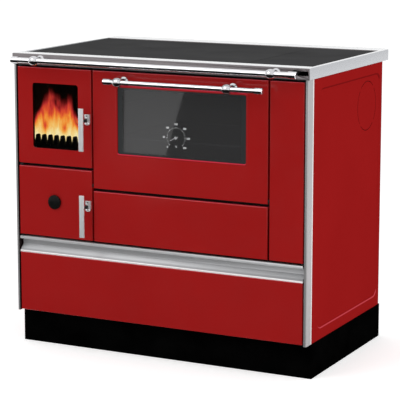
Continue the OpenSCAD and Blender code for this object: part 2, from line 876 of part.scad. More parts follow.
// Oven cavity, a welded box with two pairs of runners for the rack
runner_z = [oven_floor + oven_h * 0.40, oven_floor + oven_h * 0.70];
runner_w = 9;
runner_t = 3;

module oven_box() {
    t = casing_t;
    color(iron) {
        difference() {
            block([oven_in_l - t, casing_y, oven_floor - t], [oven_in_r + t, oven_back + t, seat_top]);
            block([oven_in_l, casing_y - 1, oven_floor], [oven_in_r, oven_back, oven_top]);
        }
        for (z = runner_z) {
            block([oven_in_l - 0.1, casing_y + 16, z], [oven_in_l + runner_w, oven_back - 16, z + runner_t]);
            block([oven_in_r - runner_w, casing_y + 16, z], [oven_in_r + 0.1, oven_back - 16, z + runner_t]);
        }
    }
}

// Wire rack on the lower pair of runners
module oven_rack() {
    rod = 3;
    wire = 1.8;
    z = runner_z[0] + runner_t + rod + fit_gap;
    x0 = oven_in_l + 2 + rod;
    x1 = oven_in_r - 2 - rod;
    y0 = casing_y + 34;
    y1 = oven_back - 24;
    wires = 15;
    step = (x1 - x0) / (wires + 1);
    color(chrome) {
        for (x = [x0, x1]) bar_y([x, y0, z], y1 - y0, rod);
        for (y = [y0, y1]) bar_x([x0, y, z], x1 - x0, rod);
        for (x = [x0, x1], y = [y0, y1]) translate([x, y, z]) sphere(rod);
        for (i = [1 : wires]) bar_y([x0 + i * step, y0, z], y1 - y0, wire);
    }
}

// Baffle in the right smoke channel: an upright sheet and the seat of the damper
partition_y = blade_y - partition_gap;

module flue_partition() {
    t = casing_t;
    mouth_w = 52;
    mouth_l = 100;
    mouth_x = casing_in - damper_mouth_x;
    color(iron) difference() {
        union() {
            block([oven_in_r + t, partition_y, low_floor + partition_foot], [casing_in, partition_y + t, seat_top]);
            block([oven_in_r + t, partition_y, oven_top], [casing_in, casing_back - t, seat_top]);
        }
        block([mouth_x - mouth_w / 2, blade_y - mouth_l / 2, oven_top - 1],
              [mouth_x + mouth_w / 2, blade_y + mouth_l / 2, seat_top + 1]);
    }
}

// Flue spigot with its fixing flange and a bead that stops the pipe
module flue_spigot() {
    flange_w = 12;
    bead = 2.5;
    bead_y = body_back + 2;
    color(iron) difference() {
        union() {
            bar_y([spigot_x, casing_back, spigot_z], spigot_end - casing_back, spigot_r);
            bar_y([spigot_x, casing_back, spigot_z], 3, spigot_r + flange_w);
            bar_y([spigot_x, bead_y, spigot_z], 4, spigot_r + bead);
        }
        bar_y([spigot_x, casing_back - 1, spigot_z], spigot_end - casing_back + 2, spigot_r - spigot_t);
    }
}

// Bracket on the casing wall with the upright pin that the damper lever turns on
pivot_r = 3.5;
boss_r = 8;
lever_t = 4;

module damper_pivot() {
    half = 15;
    color(iron) {
        block([pivot[0] - half, pivot[1] - half, oven_top - 1], [casing_in, pivot[1] + half, seat_top]);
        bar_z([pivot[0], pivot[1], oven_top], lever_z + lever_t - oven_top, pivot_r);
        bar_z([pivot[0], pivot[1], oven_top], casing_t + blade_t, boss_r);
    }
}

// Lever of the damper: arm to the knob, boss on the pin, and the blade on its rear arm
module damper_lever() {
    boss_low = seat_top + blade_t + blade_lift;
    boss_top = lever_z + lever_t / 2 + 1;
    rear_low = boss_low + 0.5;
    rod = 3;
    root = 5;
    blade_x = casing_in - 42;
    rear_l = norm([blade_x - pivot[0], blade_y - pivot[1]]);
    rear_turn = atan2(pivot[0] - blade_x, blade_y - pivot[1]);
    arm_w = 9;
    color(iron) union() {
        difference() {
            bar_z([pivot[0], pivot[1], boss_low], boss_top - boss_low, boss_r);
            bar_z([pivot[0], pivot[1], boss_low - 1], boss_top - boss_low + 2, pivot_r + running);
        }
        translate([pivot[0], pivot[1], 0]) rotate(arm_turn) {
            level(lever_z - lever_t / 2, lever_z + lever_t / 2)
                flat_rect([-arm_w / 2, -arm_r + 30], [arm_w / 2, -root]);
            bar_y([0, -arm_r + 4, lever_z], 34, rod);
        }
        translate([pivot[0], pivot[1], 0]) rotate(rear_turn) {
            level(rear_low, rear_low + 3) flat_rect([-arm_w / 2, root], [arm_w / 2, rear_l]);
            level(seat_top + blade_lift, rear_low + 0.2)
                round_rect([-blade_w / 2, rear_l - blade_l / 2], [blade_w / 2, rear_l + blade_l / 2], 6);
        }
    }
}

// Ball knob on the end of the lever
module damper_knob() {
    ball_r = 9.5;
    color(black) difference() {
        translate([knob_rest[0], knob_rest[1], lever_z + 3]) sphere(ball_r);
        translate([pivot[0], pivot[1], 0]) rotate(arm_turn) bar_y([0, -arm_r + 4, lever_z], 34, 3);
    }
}

// Cover of the soot opening, with two nuts
module soot_cover() {
    x0 = soot_l - soot_lap;
    x1 = soot_l + soot_w + soot_lap;
    z0 = low_floor;
    z1 = low_floor + low_channel_h - soot_cover_drop;
    color(iron) {
        upright(plate_y - 2, plate_y) round_rect([x0, z0], [x1, z1], 3);
        for (x = [x0 + 6, x1 - 6]) bar_y([x, plate_y - 8, (z0 + z1) / 2], 6.1, 4.5);
    }
}

// Two angle rails on the floor sheet that the drawer slides on
drawer_half = casing_x - drawer_side_gap;
runner_top = plinth_h + casing_t + 6;

module drawer_runners() {
    ledge = 24;
    wall_h = 20;
    t = 2;
    color(iron) for (side = [-1, 1]) scale([side, 1, 1]) {
        web = drawer_half + 2;
        block([web, casing_y + 6, plinth_h + casing_t], [web + t, casing_y + drawer_l, runner_top + wall_h]);
        block([web - ledge, casing_y + 6, runner_top - t], [web + 0.1, casing_y + drawer_l, runner_top]);
    }
}

// Door pan with hinge bushes at its left corners and a bush for the latch
module latched_pan(lo, hi, latch_z) {
    difference() {
        union() {
            pan(lo, hi, panel_depth);
            for (z = [lo[1] + sheet / 2, hi[1] - sheet / 2 - bush_l])
                bar_z([hinge_x, hinge_y, z], bush_l, bush_r);
            bar_y([latch_x, face_y + sheet / 2, latch_z], 12, latch_shaft_r + 3);
        }
        for (z = [lo[1] - 1, hi[1] - bush_l - 2])
            bar_z([hinge_x, hinge_y, z], bush_l + 3, hinge_pin_r + running);
        bar_y([latch_x, face_y - 1, latch_z], panel_depth + 2, latch_shaft_r + running);
    }
}

module fire_door_panel() {
    color(red) difference() {
        latched_pan([fire_l, fire_bottom], [fire_r, doors_top], fire_latch_z);
        upright(face_y - 1, face_y + 5) round_rect(fire_window[0], fire_window[1], window_r);
    }
}

// Ceramic glass behind the fire door's window
glass_y = face_y + sheet + fit_gap;
glass_back = glass_y + glass_t;

module fire_door_glass() {
    lap = [glass_lap, glass_lap];
    color([0.1, 0.1, 0.1, 0.5]) upright(glass_y, glass_back)
        round_rect(fire_window[0] - lap, fire_window[1] + lap, 4);
}

// Cast frame that clamps the glass and carries the rope seal
frame_gap = 14;

module fire_door_frame() {
    lo = [fire_l + frame_gap, fire_bottom + 4];
    hi = [latch_x - latch_shaft_r - 4, doors_top - 4];
    grow = [4, 4];
    color(iron) upright(glass_back + fit_gap, door_back) difference() {
        round_rect(lo, hi, 5);
        round_rect(fire_window[0] - grow, fire_window[1] + grow, window_r + 4);
    }
}

// Rope seal round the fire opening
module fire_door_seal() {
    color([0.75, 0.73, 0.68]) upright(door_back, plate_y - fit_gap) ring(fire_open, 1, 7, 6);
}

// Cast bracket beside the latch shaft: screwed pad, neck and round foot
module handle_bracket(z) {
    x = latch_x + bracket_shift;
    half = 8;
    color(chrome) {
        difference() {
            upright(face_y - 6, face_y) {
                round_rect([x - half, z + 4.5], [x + half, z + 17], 2);
                round_rect([x + 1, z - 8], [x + half, z + 8], 2);
            }
            bar_y([x - 1, face_y - 7, z + 12], 5, 2);
        }
        bar_x([x - half + 4.5, face_y - 4.6, z - 9], 2 * half - 9, 4.5);
        for (side = [-1, 1]) translate([x + side * (half - 4.5), face_y - 4.6, z - 9]) sphere(4.5);
    }
}

module fire_handle_bracket() {
    handle_bracket(fire_latch_z);
}

// Flat grip strip on the end of the latch shaft
module handle_strip(z) {
    front = face_y - grip_reach;
    lo = [latch_x - grip_strip_w / 2, z + grip_pivot - grip_strip_l];
    hi = [latch_x + grip_strip_w / 2, z + grip_pivot];
    color(steel) pressed_slab(lo, hi, front, front + grip_strip_t, 1);
}

module fire_handle() {
    handle_strip(fire_latch_z);
}

// Latch shaft with its tongue behind the front plate
module latch_shaft(z) {
    tongue_y = casing_y + 1;
    start = face_y - grip_reach + grip_strip_t;
    color(iron) {
        bar_y([latch_x, start, z], tongue_y + tongue_t - start, latch_shaft_r);
        upright(tongue_y, tongue_y + tongue_t) {
            translate([latch_x, z]) circle(tongue_w / 2);
            flat_rect([latch_x - tongue_w / 2, z - tongue_l], [latch_x + tongue_w / 2, z]);
        }
    }
}

module fire_latch() {
    latch_shaft(fire_latch_z);
}

// Ash door with its ring of air holes behind the knob
module air_holes(front, back, turn) {
    for (a = [0 : 60 : 300]) translate([air_x, 0, air_z]) rotate([0, a + turn, 0])
        bar_y([air_ring_r, front, 0], back - front, air_hole_r);
}

module ash_door_panel() {
    color(red) difference() {
        latched_pan([fire_l, ash_bottom], [fire_r, ash_top], ash_latch_z);
        bar_y([air_x, face_y - 1, air_z], 5, air_shaft_r + running);
        air_holes(face_y - 1, face_y + 3, 0);
    }
}

// Folded liner of the ash door, with a round way for the air
module ash_door_liner() {
    lo = [fire_l + frame_gap, ash_bottom + 4];
    hi = [latch_x - latch_shaft_r - 4, ash_top - 4];
    wall = [sheet, sheet];
    color(iron) difference() {
        upright(face_y + sheet + fit_gap, door_back) round_rect(lo, hi, 5);
        upright(face_y, door_back - sheet) round_rect(lo + wall, hi - wall, 4);
        bar_y([air_x, door_back - 5, air_z], 10, shutter_r + 7);
    }
}

module ash_door_seal() {
    color([0.75, 0.73, 0.68]) upright(door_back, plate_y - fit_gap) ring(ash_open, 1, 7, 6);
}

module ash_handle_bracket() {
    handle_bracket(ash_latch_z);
}

module ash_handle() {
    handle_strip(ash_latch_z);
}

module ash_latch() {
    latch_shaft(ash_latch_z);
}

// Air knob: a low domed grip with a fluted rim on a short shaft
module air_knob() {
    stand = 2;
    depth = 8;
    flutes = 16;
    dome_r = 60;
    color(black) {
        difference() {
            translate([air_x, face_y - stand, air_z]) rotate([90, 0, 0]) rotate_extrude() intersection() {
                square([air_knob_r, depth]);
                translate([0, depth - dome_r]) circle(dome_r);
                translate([air_knob_r - 30, depth / 2 - 1.5]) circle(30);
            }
            for (i = [0 : flutes - 1]) translate([air_x, face_y, air_z])
                rotate([0, i * 360 / flutes, 0]) bar_y([air_knob_r + 1, -stand - depth - 1, 0], depth + 2, 2.2);
        }
        bar_y([air_x, face_y - stand - 2, air_z], stand + 2 + sheet + fit_gap + 2, air_shaft_r);
    }
}

// Shutter disc behind the ash door's face, with matching holes
module air_shutter() {
    y = face_y + sheet + fit_gap;
    color(steel) difference() {
        bar_y([air_x, y, air_z], 2, shutter_r);
        bar_y([air_x, y - 1, air_z], 4, air_shaft_r);
        air_holes(y - 1, y + 3, 0);
    }
}

// Oven door pan with hinge bushes at its lower corners
module oven_door_panel() {
    lo = [oven_l, oven_bottom];
    hi = [oven_r, doors_top];
    color(red) difference() {
        union() {
            pan(lo, hi, panel_depth);
            for (x = [lo[0] + sheet / 2, hi[0] - sheet / 2 - bush_l])
                bar_x([x, hinge_y, oven_hinge_z], bush_l, bush_r);
        }
        upright(face_y - 1, face_y + 5) round_rect(oven_window[0], oven_window[1], window_r - 3);
        for (x = [lo[0] - 1, hi[0] - bush_l - 2])
            bar_x([x, hinge_y, oven_hinge_z], bush_l + 3, hinge_pin_r + running);
    }
}

// Outer glass of the oven door, bored for the thermometer
pointer_r = 1.5;

module oven_door_glass() {
    lap = [glass_lap, glass_lap];
    color([0.15, 0.15, 0.16, 0.8]) difference() {
        upright(glass_y, glass_back) round_rect(oven_window[0] - lap, oven_window[1] + lap, 4);
        bar_y([dial_x, glass_y - 1, dial_z], glass_t + 2, pointer_r + running);
    }
}

// Liner that closes the oven door from behind, and the inner glass in it
liner_y = door_back - 2.8;
inner_glass_t = 3.5;
inner_glass_y = liner_y - fit_gap - inner_glass_t;

module oven_door_liner() {
    gap = [sheet + fit_gap, sheet + fit_gap];
    color(iron) upright(liner_y, liner_y + sheet) difference() {
        flat_rect([oven_l, oven_bottom] + gap, [oven_r, doors_top] - gap);
        round_rect(oven_window[0], oven_window[1], window_r);
    }
}

module oven_inner_glass() {
    lap = [glass_lap, glass_lap];
    color([0.15, 0.15, 0.16, 0.6]) difference() {
        upright(inner_glass_y, inner_glass_y + inner_glass_t)
            round_rect(oven_window[0] - lap, oven_window[1] + lap, 4);
        bar_y([dial_x, inner_glass_y - 1, dial_z], inner_glass_t + 2, 3.2);
    }
}

module oven_door_seal() {
    color([0.25, 0.25, 0.25]) upright(liner_y + sheet, plate_y - fit_gap) ring(oven_open, 1, 7, 2);
}

// Oven handle
bar_z_mid = doors_top - bar_drop;

module oven_handle_bar() {
    color(chrome) capped_bar(oven_l + bar_left, oven_r - bar_right, face_y - bar_reach, bar_z_mid,
                             bar_r, bar_cap_r);
}

module oven_handle_brackets() {
    first = oven_l + bar_left + bar_bracket_left;
    color(chrome) for (x = [first, first + bar_bracket_span])
        bar_bracket(x, bar_z_mid, face_y, bar_reach, bar_r);
}

// Thermometer housing between the two glasses, with its stem in the oven
module thermometer_body() {
    stem_r = 3;
    front = glass_back + fit_gap;
    color(black) difference() {
        union() {
            bar_y([dial_x, front, dial_z], inner_glass_y - fit_gap - front, 22);
            bar_y([dial_x, front + 1, dial_z], 50, stem_r);
        }
        bar_y([dial_x, front - 1, dial_z], 3, pointer_r + running);
    }
}

// Pointer of the thermometer in front of the glass
module thermometer_pointer() {
    needle_l = 20;
    tail_l = 7;
    y = glass_y - fit_gap;
    color(chrome) {
        bar_y([dial_x, y - 2, dial_z], 2, 4.5);
        bar_y([dial_x, y - 0.1, dial_z], glass_t + 2 * fit_gap + 1.4, pointer_r);
        translate([dial_x, 0, dial_z]) rotate([0, -pointer_rest, 0]) upright(y - 1.4, y - 0.4)
            polygon([[-tail_l, -1.6], [needle_l, -0.4], [needle_l, 0.4], [-tail_l, 1.6]]);
    }
}

// Red front of the drawer
module drawer_front() {
    color(red) pan([-front_half, drawer_bottom], [front_half, drawer_top], drawer_face_d);
}

// Grip profile: top lip, finger channel with a sloped floor, and bottom lip
module drawer_grip() {
    lip = 7.5;
    low_lip = 4;
    slope_h = 17;
    groove = 0.8;
    hollow = 1.8;
    color(steel) sideways(-front_half, front_half) difference() {
        translate([face_y, grip_bottom]) difference() {
            square([drawer_face_d, grip_h]);
            polygon([[-1, low_lip], [0, low_lip], [channel_d, low_lip + slope_h],
                     [channel_d, grip_h - lip], [-1, grip_h - lip]]);
            translate([-1, grip_h - lip + hollow / 2]) square([1 + groove, groove]);
            translate([2 * hollow, grip_h - lip + hollow]) square([channel_d - 4 * hollow, lip - 2 * hollow]);
        }
    }
}

// Drawer box of folded sheet
module drawer_box() {
    y0 = face_y + drawer_face_d;
    y1 = y0 + drawer_l;
    z0 = runner_top + fit_gap;
    t = drawer_t;
    color(iron) {
        difference() {
            block([-drawer_half, y0, z0], [drawer_half, y1, z0 + drawer_box_h]);
            block([-drawer_half + t, y0 + t, z0 + t], [drawer_half - t, y1 - t, z0 + drawer_box_h + 1]);
        }
        block([-drawer_half, y0, z0 + drawer_box_h - 1], [drawer_half, y0 + t, grip_top - 6]);
    }
}

plinth();
base_plate();
corner_post(-1);  // left_corner_post
corner_post(1);  // right_corner_post
left_side_panel();
right_side_panel();
back_panel();
top_frame();
hob_plate();
hob_side_plate();
hob_bridge();
front_frame();
latch_strips();
lower_front_panel();
right_front_panel();
left_door_hinges();
oven_door_hinges();
safety_rail();
rail_brackets();
inner_casing();
firebricks();
fire_grate();
log_guard();
ash_pan();
oven_box();
oven_rack();
flue_partition();
flue_spigot();
damper_pivot();
soot_cover();
drawer_runners();
fire_door_panel();
fire_door_glass();
fire_door_frame();
fire_door_seal();
fire_handle_bracket();
fire_handle();
fire_latch();
ash_door_panel();
ash_door_liner();
ash_door_seal();
ash_handle_bracket();
ash_handle();
ash_latch();
air_knob();
air_shutter();
oven_door_panel();
oven_door_glass();
oven_door_liner();
oven_inner_glass();
oven_door_seal();
oven_handle_bar();
oven_handle_brackets();
thermometer_body();
thermometer_pointer();
drawer_front();
drawer_grip();
drawer_box();
damper_lever();
damper_knob();
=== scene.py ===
# %% [markdown]
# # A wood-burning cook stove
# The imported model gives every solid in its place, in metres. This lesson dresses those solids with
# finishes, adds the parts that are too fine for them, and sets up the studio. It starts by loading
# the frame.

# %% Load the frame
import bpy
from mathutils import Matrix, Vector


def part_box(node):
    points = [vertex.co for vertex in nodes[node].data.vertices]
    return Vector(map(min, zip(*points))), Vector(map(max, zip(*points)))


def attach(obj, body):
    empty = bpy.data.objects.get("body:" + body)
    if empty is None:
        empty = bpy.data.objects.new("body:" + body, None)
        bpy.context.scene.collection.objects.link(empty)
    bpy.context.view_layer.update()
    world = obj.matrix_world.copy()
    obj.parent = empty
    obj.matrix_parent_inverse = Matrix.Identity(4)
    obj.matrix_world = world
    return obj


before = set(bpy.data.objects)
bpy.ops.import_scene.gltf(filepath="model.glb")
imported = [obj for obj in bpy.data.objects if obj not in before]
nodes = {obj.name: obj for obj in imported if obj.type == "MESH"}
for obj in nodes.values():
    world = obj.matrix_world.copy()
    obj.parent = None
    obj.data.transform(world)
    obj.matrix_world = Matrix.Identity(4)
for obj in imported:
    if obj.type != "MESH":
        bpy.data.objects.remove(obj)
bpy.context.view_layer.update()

# %% [markdown]
# The other modules come next. The Standard view shows the colours as they are, without a film look.

# %% Import what the cells use
import math
import bmesh
import bpy
from mathutils import Matrix, Vector

scene = bpy.context.scene
scene.view_settings.view_transform = "Standard"

# %% [markdown]
# ## The camera
# The camera was solved from the stove's corners in the photograph. It stands well away, to the right
# and a little above, with a long lens, so the upright edges stay almost parallel. The small shift
# keeps the stove where the photograph has it without tilting the camera further.

# %% Place the camera
camera_data = bpy.data.cameras.new("camera")
camera_data.sensor_width = 36.0
camera_data.lens = 155.04
camera_data.shift_x = 0.0096
camera_data.shift_y = -0.0843
camera = bpy.data.objects.new("camera", camera_data)
scene.collection.objects.link(camera)
camera_place = Matrix.Translation((2.2212, -4.4020, 1.3415))
yaw = math.radians(-26.898)
pitch = math.radians(9.507)
look = Vector((math.sin(yaw) * math.cos(pitch), math.cos(yaw) * math.cos(pitch), -math.sin(pitch)))
camera.matrix_world = camera_place @ look.to_track_quat("-Z", "Y").to_matrix().to_4x4()
scene.camera = camera
print("camera looks along", tuple(round(value, 3) for value in look))

# %% [markdown]
# ## How a finish is built
# A finish is a tree of nodes joined by links, with a Principled shader at its end. Each helper below
# adds one kind of node and returns the socket with its result: a sum, one part of a vector, a change
# of range, noise, or a mix of two colours.
#
# The noise works on object coordinates. They are in metres, so a scale of 500 gives grain of about
# two millimetres, on every piece alike.

# %% Helpers for values
EVEN = (1.0, 1.0, 1.0)


def calculate(tree, operation, first, second=None, clamp=False):
    """A sum on one or two values, such as MULTIPLY; each is a socket or a number."""
    node = tree.nodes.new("ShaderNodeMath")
    node.operation = operation
    node.use_clamp = clamp
    for slot, value in enumerate((first, second)):
        if isinstance(value, float):
            node.inputs[slot].default_value = value
        elif value is not None:
            tree.links.new(value, node.inputs[slot])
    return node.outputs[0]


def part_of(tree, socket, axis):
    """One coordinate of a vector socket."""
    parts = tree.nodes.new("ShaderNodeSeparateXYZ")
    tree.links.new(socket, parts.inputs["Vector"])
    return parts.outputs[axis]


def surface(tree, output, axis):
    """One coordinate of the surface's Position or of its True Normal."""
    geometry = tree.nodes.new("ShaderNodeNewGeometry")
    return part_of(tree, geometry.outputs[output], axis)


def spread(tree, value, low, high, out_low=0.0, out_high=1.0):
    """Maps a value's range to another range."""
    node = tree.nodes.new("ShaderNodeMapRange")
    node.inputs["From Min"].default_value = low
    node.inputs["From Max"].default_value = high
    node.inputs["To Min"].default_value = out_low
    node.inputs["To Max"].default_value = out_high
    tree.links.new(value, node.inputs["Value"])
    return node.outputs["Result"]


def grain(tree, scale, stretch=EVEN, detail=2.0, distortion=0.0):
    """Noise on object coordinates, stretched along the axes."""
    place = tree.nodes.new("ShaderNodeTexCoord")
    mapping = tree.nodes.new("ShaderNodeMapping")
    mapping.inputs["Scale"].default_value = stretch
    noise = tree.nodes.new("ShaderNodeTexNoise")
    noise.inputs["Scale"].default_value = scale
    noise.inputs["Detail"].default_value = detail
    noise.inputs["Distortion"].default_value = distortion
    tree.links.new(place.outputs["Object"], mapping.inputs["Vector"])
    tree.links.new(mapping.outputs["Vector"], noise.inputs["Vector"])
    return noise.outputs["Fac"]


# %% [markdown]
# The next helpers make a material, colour it by noise, lay a tone over part of it, and turn noise into
# relief. Most noise lies between 0.3 and 0.7, so that span is spread over the two colours.

# %% Helpers for materials
def finish(name, color, roughness, metallic=0.0, specular=0.5):
    """A new material; returns it with its tree and its shader."""
    made = bpy.data.materials.new(name)
    made.use_nodes = True
    tree = made.node_tree
    shader = tree.nodes["Principled BSDF"]
    shader.inputs["Base Color"].default_value = (*color, 1.0)
    shader.inputs["Roughness"].default_value = roughness
    shader.inputs["Metallic"].default_value = metallic
    shader.inputs["Specular IOR Level"].default_value = specular
    return made, tree, shader


def mottle(tree, shader, value, first, second, span=(0.3, 0.7)):
    """Colours the shader between two colours by a value that varies over a span."""
    mix = tree.nodes.new("ShaderNodeMix")
    mix.data_type = "RGBA"
    mix.inputs[6].default_value = (*first, 1.0)
    mix.inputs[7].default_value = (*second, 1.0)
    tree.links.new(spread(tree, value, *span), mix.inputs[0])
    tree.links.new(mix.outputs[2], shader.inputs["Base Color"])


def tinted(material, value, tone):
    """Lays a tone over a finish's colour where a value is 1."""
    tree = material.node_tree
    shader = tree.nodes["Principled BSDF"]
    body_tone = shader.inputs["Base Color"].links[0].from_socket
    mix = tree.nodes.new("ShaderNodeMix")
    mix.data_type = "RGBA"
    mix.inputs[7].default_value = (*tone, 1.0)
    tree.links.new(value, mix.inputs[0])
    tree.links.new(body_tone, mix.inputs[6])
    tree.links.new(mix.outputs[2], shader.inputs["Base Color"])


def relief(tree, shader, value, height, strength=1.0):
    """Bumps the surface by a value, height in metres."""
    bump = tree.nodes.new("ShaderNodeBump")
    bump.inputs["Strength"].default_value = strength
    bump.inputs["Distance"].default_value = height
    tree.links.new(value, bump.inputs["Height"])
    tree.links.new(bump.outputs["Normal"], shader.inputs["Normal"])


def coated(name, roughness, specular, clouds, tones, bumps, height, strength, span=(0.3, 0.7)):
    """A skin with a noise of tones and a noise of relief; without bumps, one noise does both."""
    made, tree, shader = finish(name, tones[0], roughness, specular=specular)
    noise = grain(tree, *clouds)
    mottle(tree, shader, noise, *tones, span)
    raised = grain(tree, *bumps) if bumps else noise
    relief(tree, shader, raised, height, strength)
    return made


# %% [markdown]
# ## Light and floor
# A studio shot of an enamelled stove is lit evenly: a soft white surround, one large soft lamp from
# the upper left, a smaller one at the right, and a pale floor. The surround is plain white to the
# lens, to shiny surfaces and through glass, and a little weaker as light, so that the enamel shows
# its own colour.

# %% Light the studio
world = bpy.data.worlds.new("studio")
scene.world = world
world.use_nodes = True
sky = world.node_tree
surround = sky.nodes["Background"]
surround.inputs["Color"].default_value = (1.0, 1.0, 1.0, 1.0)
rays = sky.nodes.new("ShaderNodeLightPath").outputs
seen = calculate(sky, "MAXIMUM", rays["Is Camera Ray"], rays["Is Glossy Ray"])
seen = calculate(sky, "MAXIMUM", seen, rays["Is Transmission Ray"])
sky.links.new(spread(sky, seen, 0.0, 1.0, 0.72, 1.0), surround.inputs["Strength"])


def soft_lamp(name, place, aim, size, watts):
    """A square area lamp that faces a point."""
    data = bpy.data.lights.new(name, "AREA")
    data.shape = "SQUARE"
    data.size = size
    data.energy = watts
    lamp = bpy.data.objects.new(name, data)
    scene.collection.objects.link(lamp)
    turn = (Vector(aim) - Vector(place)).to_track_quat("-Z", "Y")
    lamp.matrix_world = Matrix.Translation(place) @ turn.to_matrix().to_4x4()


soft_lamp("key_lamp", (-1.8, -3.2, 3.4), (0.0, 0.0, 0.5), 2.2, 46.0)
soft_lamp("side_lamp", (3.6, -0.6, 2.4), (0.4, 0.0, 0.4), 2.0, 24.0)

# %% [markdown]
# The floor is one wide pale sheet. A little light of its own makes it plain white where nothing
# shades it, and it keeps a trace of the stove's soft shadow.

# %% Lay the floor
def studio_sheet(name, shape, finish_name, grey, roughness, specular):
    """A flat sheet of the studio with a plain finish; returns it with its shader."""
    mesh = bpy.data.meshes.new(name)
    shape.to_mesh(mesh)
    shape.free()
    sheet = bpy.data.objects.new(name, mesh)
    scene.collection.objects.link(sheet)
    made, tree, shader = finish(finish_name, (grey, grey, grey), roughness, specular=specular)
    mesh.materials.append(made)
    return sheet, shader


shape = bmesh.new()
bmesh.ops.create_grid(shape, x_segments=1, y_segments=1, size=30.0)
floor, shader = studio_sheet("floor", shape, "floor_pale", 0.94, 0.9, 0.1)
shader.inputs["Emission Color"].default_value = (1.0, 1.0, 1.0, 1.0)
shader.inputs["Emission Strength"].default_value = 0.41
print("floor:", tuple(round(side, 1) for side in floor.dimensions))

# %% [markdown]
# Chrome only looks like chrome when it has something dark to reflect. A photographer lays black
# cloth on the floor, outside the picture. Here it is a flat card that the camera doesn't see. One
# slot in it lets a strip of pale floor show, as a slanting light patch, in the oven's glass. The
# card is four pieces that lie round the slot.

# %% Lay the black card
CARD_LEVEL = 0.004
slot_y = -3.48
slot_end_y = -6.05
slot_hole = [(-3.34, slot_end_y), (-1.905, slot_y), (-1.668, slot_y), (-2.885, slot_end_y)]
far_left = (-16.0, -28.0)
mid_left = (-5.2, -10.0)
near_left = (-6.5, slot_y)
right_x = 3.2
strips = [
    [far_left, mid_left, slot_hole[0], slot_hole[1], near_left],
    [far_left, (right_x, far_left[1]), (right_x, slot_end_y), slot_hole[3], slot_hole[0], mid_left],
    [slot_hole[3], (right_x, slot_end_y), (right_x, slot_y), slot_hole[2]],
    [near_left, slot_hole[1], slot_hole[2], (right_x, slot_y), (1.2, -0.285), (-3.0, -0.285)],
]
shape = bmesh.new()
for strip in strips:
    shape.faces.new([shape.verts.new((x, y, CARD_LEVEL)) for x, y in strip])
card, shader = studio_sheet("dark_card", shape, "card_black", 0.01, 1.0, 0.0)
card.visible_camera = False
card.visible_diffuse = False
card.visible_shadow = False
print("card pieces:", len(card.data.polygons))

# %% [markdown]
# ## Red enamel
# The doors, panels and drawer are pressed sheet with fired enamel. Enamel is smooth but not flat: it
# has a faint orange-peel relief and slow changes of depth in its colour. Two noises of very
# different scale give both. Faces that look up, such as the upper edges, get a pinkish painted highlight.

# %% Red enamel
enamel, tree, shader = finish("red_enamel", (0.30, 0.008, 0.009), 0.12, specular=0.24)
mottle(tree, shader, grain(tree, 4.0, detail=3.0), (0.262, 0.0071, 0.0070), (0.282, 0.0083, 0.0082))
gloss = spread(tree, grain(tree, 18.0, detail=4.0), 0.3, 0.7, 0.10, 0.16)
tree.links.new(gloss, shader.inputs["Roughness"])
relief(tree, shader, grain(tree, 240.0, detail=1.0), 0.00004, 0.2)
# Painted highlight: faces that look up, such as the upper edges, are tinted pale pink.
tinted(enamel, spread(tree, surface(tree, "True Normal", "Z"), 0.35, 0.70), (0.62, 0.050, 0.070))
print("front enamel:", len(tree.nodes), "nodes")

# %% [markdown]
# The side panels have the same colour with less gloss. They are seen at a low angle, where a glossy
# coat would turn pale from the floor behind the stove. The pressed recess has sloped edges: a thin
# pale line along the slope that faces up is a painted highlight, and the slope that faces down is
# painted darker as shade. The faces that don't look sideways, such as the cut edges of the sheet and
# the slots round the knock-out, are painted near black as shade.

# %% Enamel of the sides
side_enamel, tree, shader = finish("side_enamel", (0.30, 0.009, 0.010), 0.30, specular=0.0)
mottle(tree, shader, grain(tree, 4.0, detail=3.0), (0.267, 0.0085, 0.0085), (0.283, 0.0095, 0.0095))
gloss = spread(tree, grain(tree, 14.0, detail=4.0), 0.3, 0.7, 0.24, 0.34)
tree.links.new(gloss, shader.inputs["Roughness"])
side_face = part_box("right_side_panel")[1].x
upward = surface(tree, "True Normal", "Z")
outward = calculate(tree, "ABSOLUTE", surface(tree, "True Normal", "X"))
sideways = calculate(tree, "ABSOLUTE", surface(tree, "Position", "X"))
line_inside = spread(tree, sideways, side_face - 0.0024, side_face - 0.0020)
line_outside = spread(tree, sideways, side_face - 0.0004, side_face - 0.0008)
thin_line = calculate(tree, "MULTIPLY", line_inside, line_outside)
# Painted highlight: a thin pale line on the part of the recess slope that faces up.
painted_slope_highlight = calculate(tree, "MULTIPLY", spread(tree, upward, 0.15, 0.30), thin_line)
tinted(side_enamel, painted_slope_highlight, (0.56, 0.060, 0.078))
# Painted shade: faces that look down, such as the upper slope of the recess, are tinted darker.
tinted(side_enamel, spread(tree, upward, -0.15, -0.30), (0.175, 0.0060, 0.0064))
# Painted shade: faces that don't look sideways, the cut edges and the slot walls round the knock-out, are
# tinted near black.
tinted(side_enamel, spread(tree, outward, 0.3, 0.1), (0.012, 0.001, 0.001))
print("side enamel:", len(tree.nodes), "nodes")

# %% [markdown]
# ## Steel and aluminium
# Brushing is noise stretched along one axis. On the top frame it follows each strip: along X at the
# front and rear, and along Y at the two ends. The end strips are the part of the frame beyond the
# hob plates, so the X coordinate tells them apart. The frame and the posts are satin: part of their
# light is scattered, so they stay pale even where they face the black card.

# %% Brushed metals
def streaks(tree, fine, along):
    """Noise drawn out into streaks along one axis."""
    stretch = [1.0, 1.0, 1.0]
    stretch["XYZ".index(along)] = 0.012
    return grain(tree, fine, tuple(stretch), detail=3.0)


def end_streaks(tree, lines, fine, half):
    """Swaps streaks along X for streaks along Y where x is beyond plus or minus half."""
    place = tree.nodes.new("ShaderNodeTexCoord")
    outward = calculate(tree, "ABSOLUTE", part_of(tree, place.outputs["Object"], "X"))
    mix = tree.nodes.new("ShaderNodeMix")
    tree.links.new(calculate(tree, "GREATER_THAN", outward, half), mix.inputs[0])
    tree.links.new(lines, mix.inputs[2])
    tree.links.new(streaks(tree, fine, "Y"), mix.inputs[3])
    return mix.outputs[0]


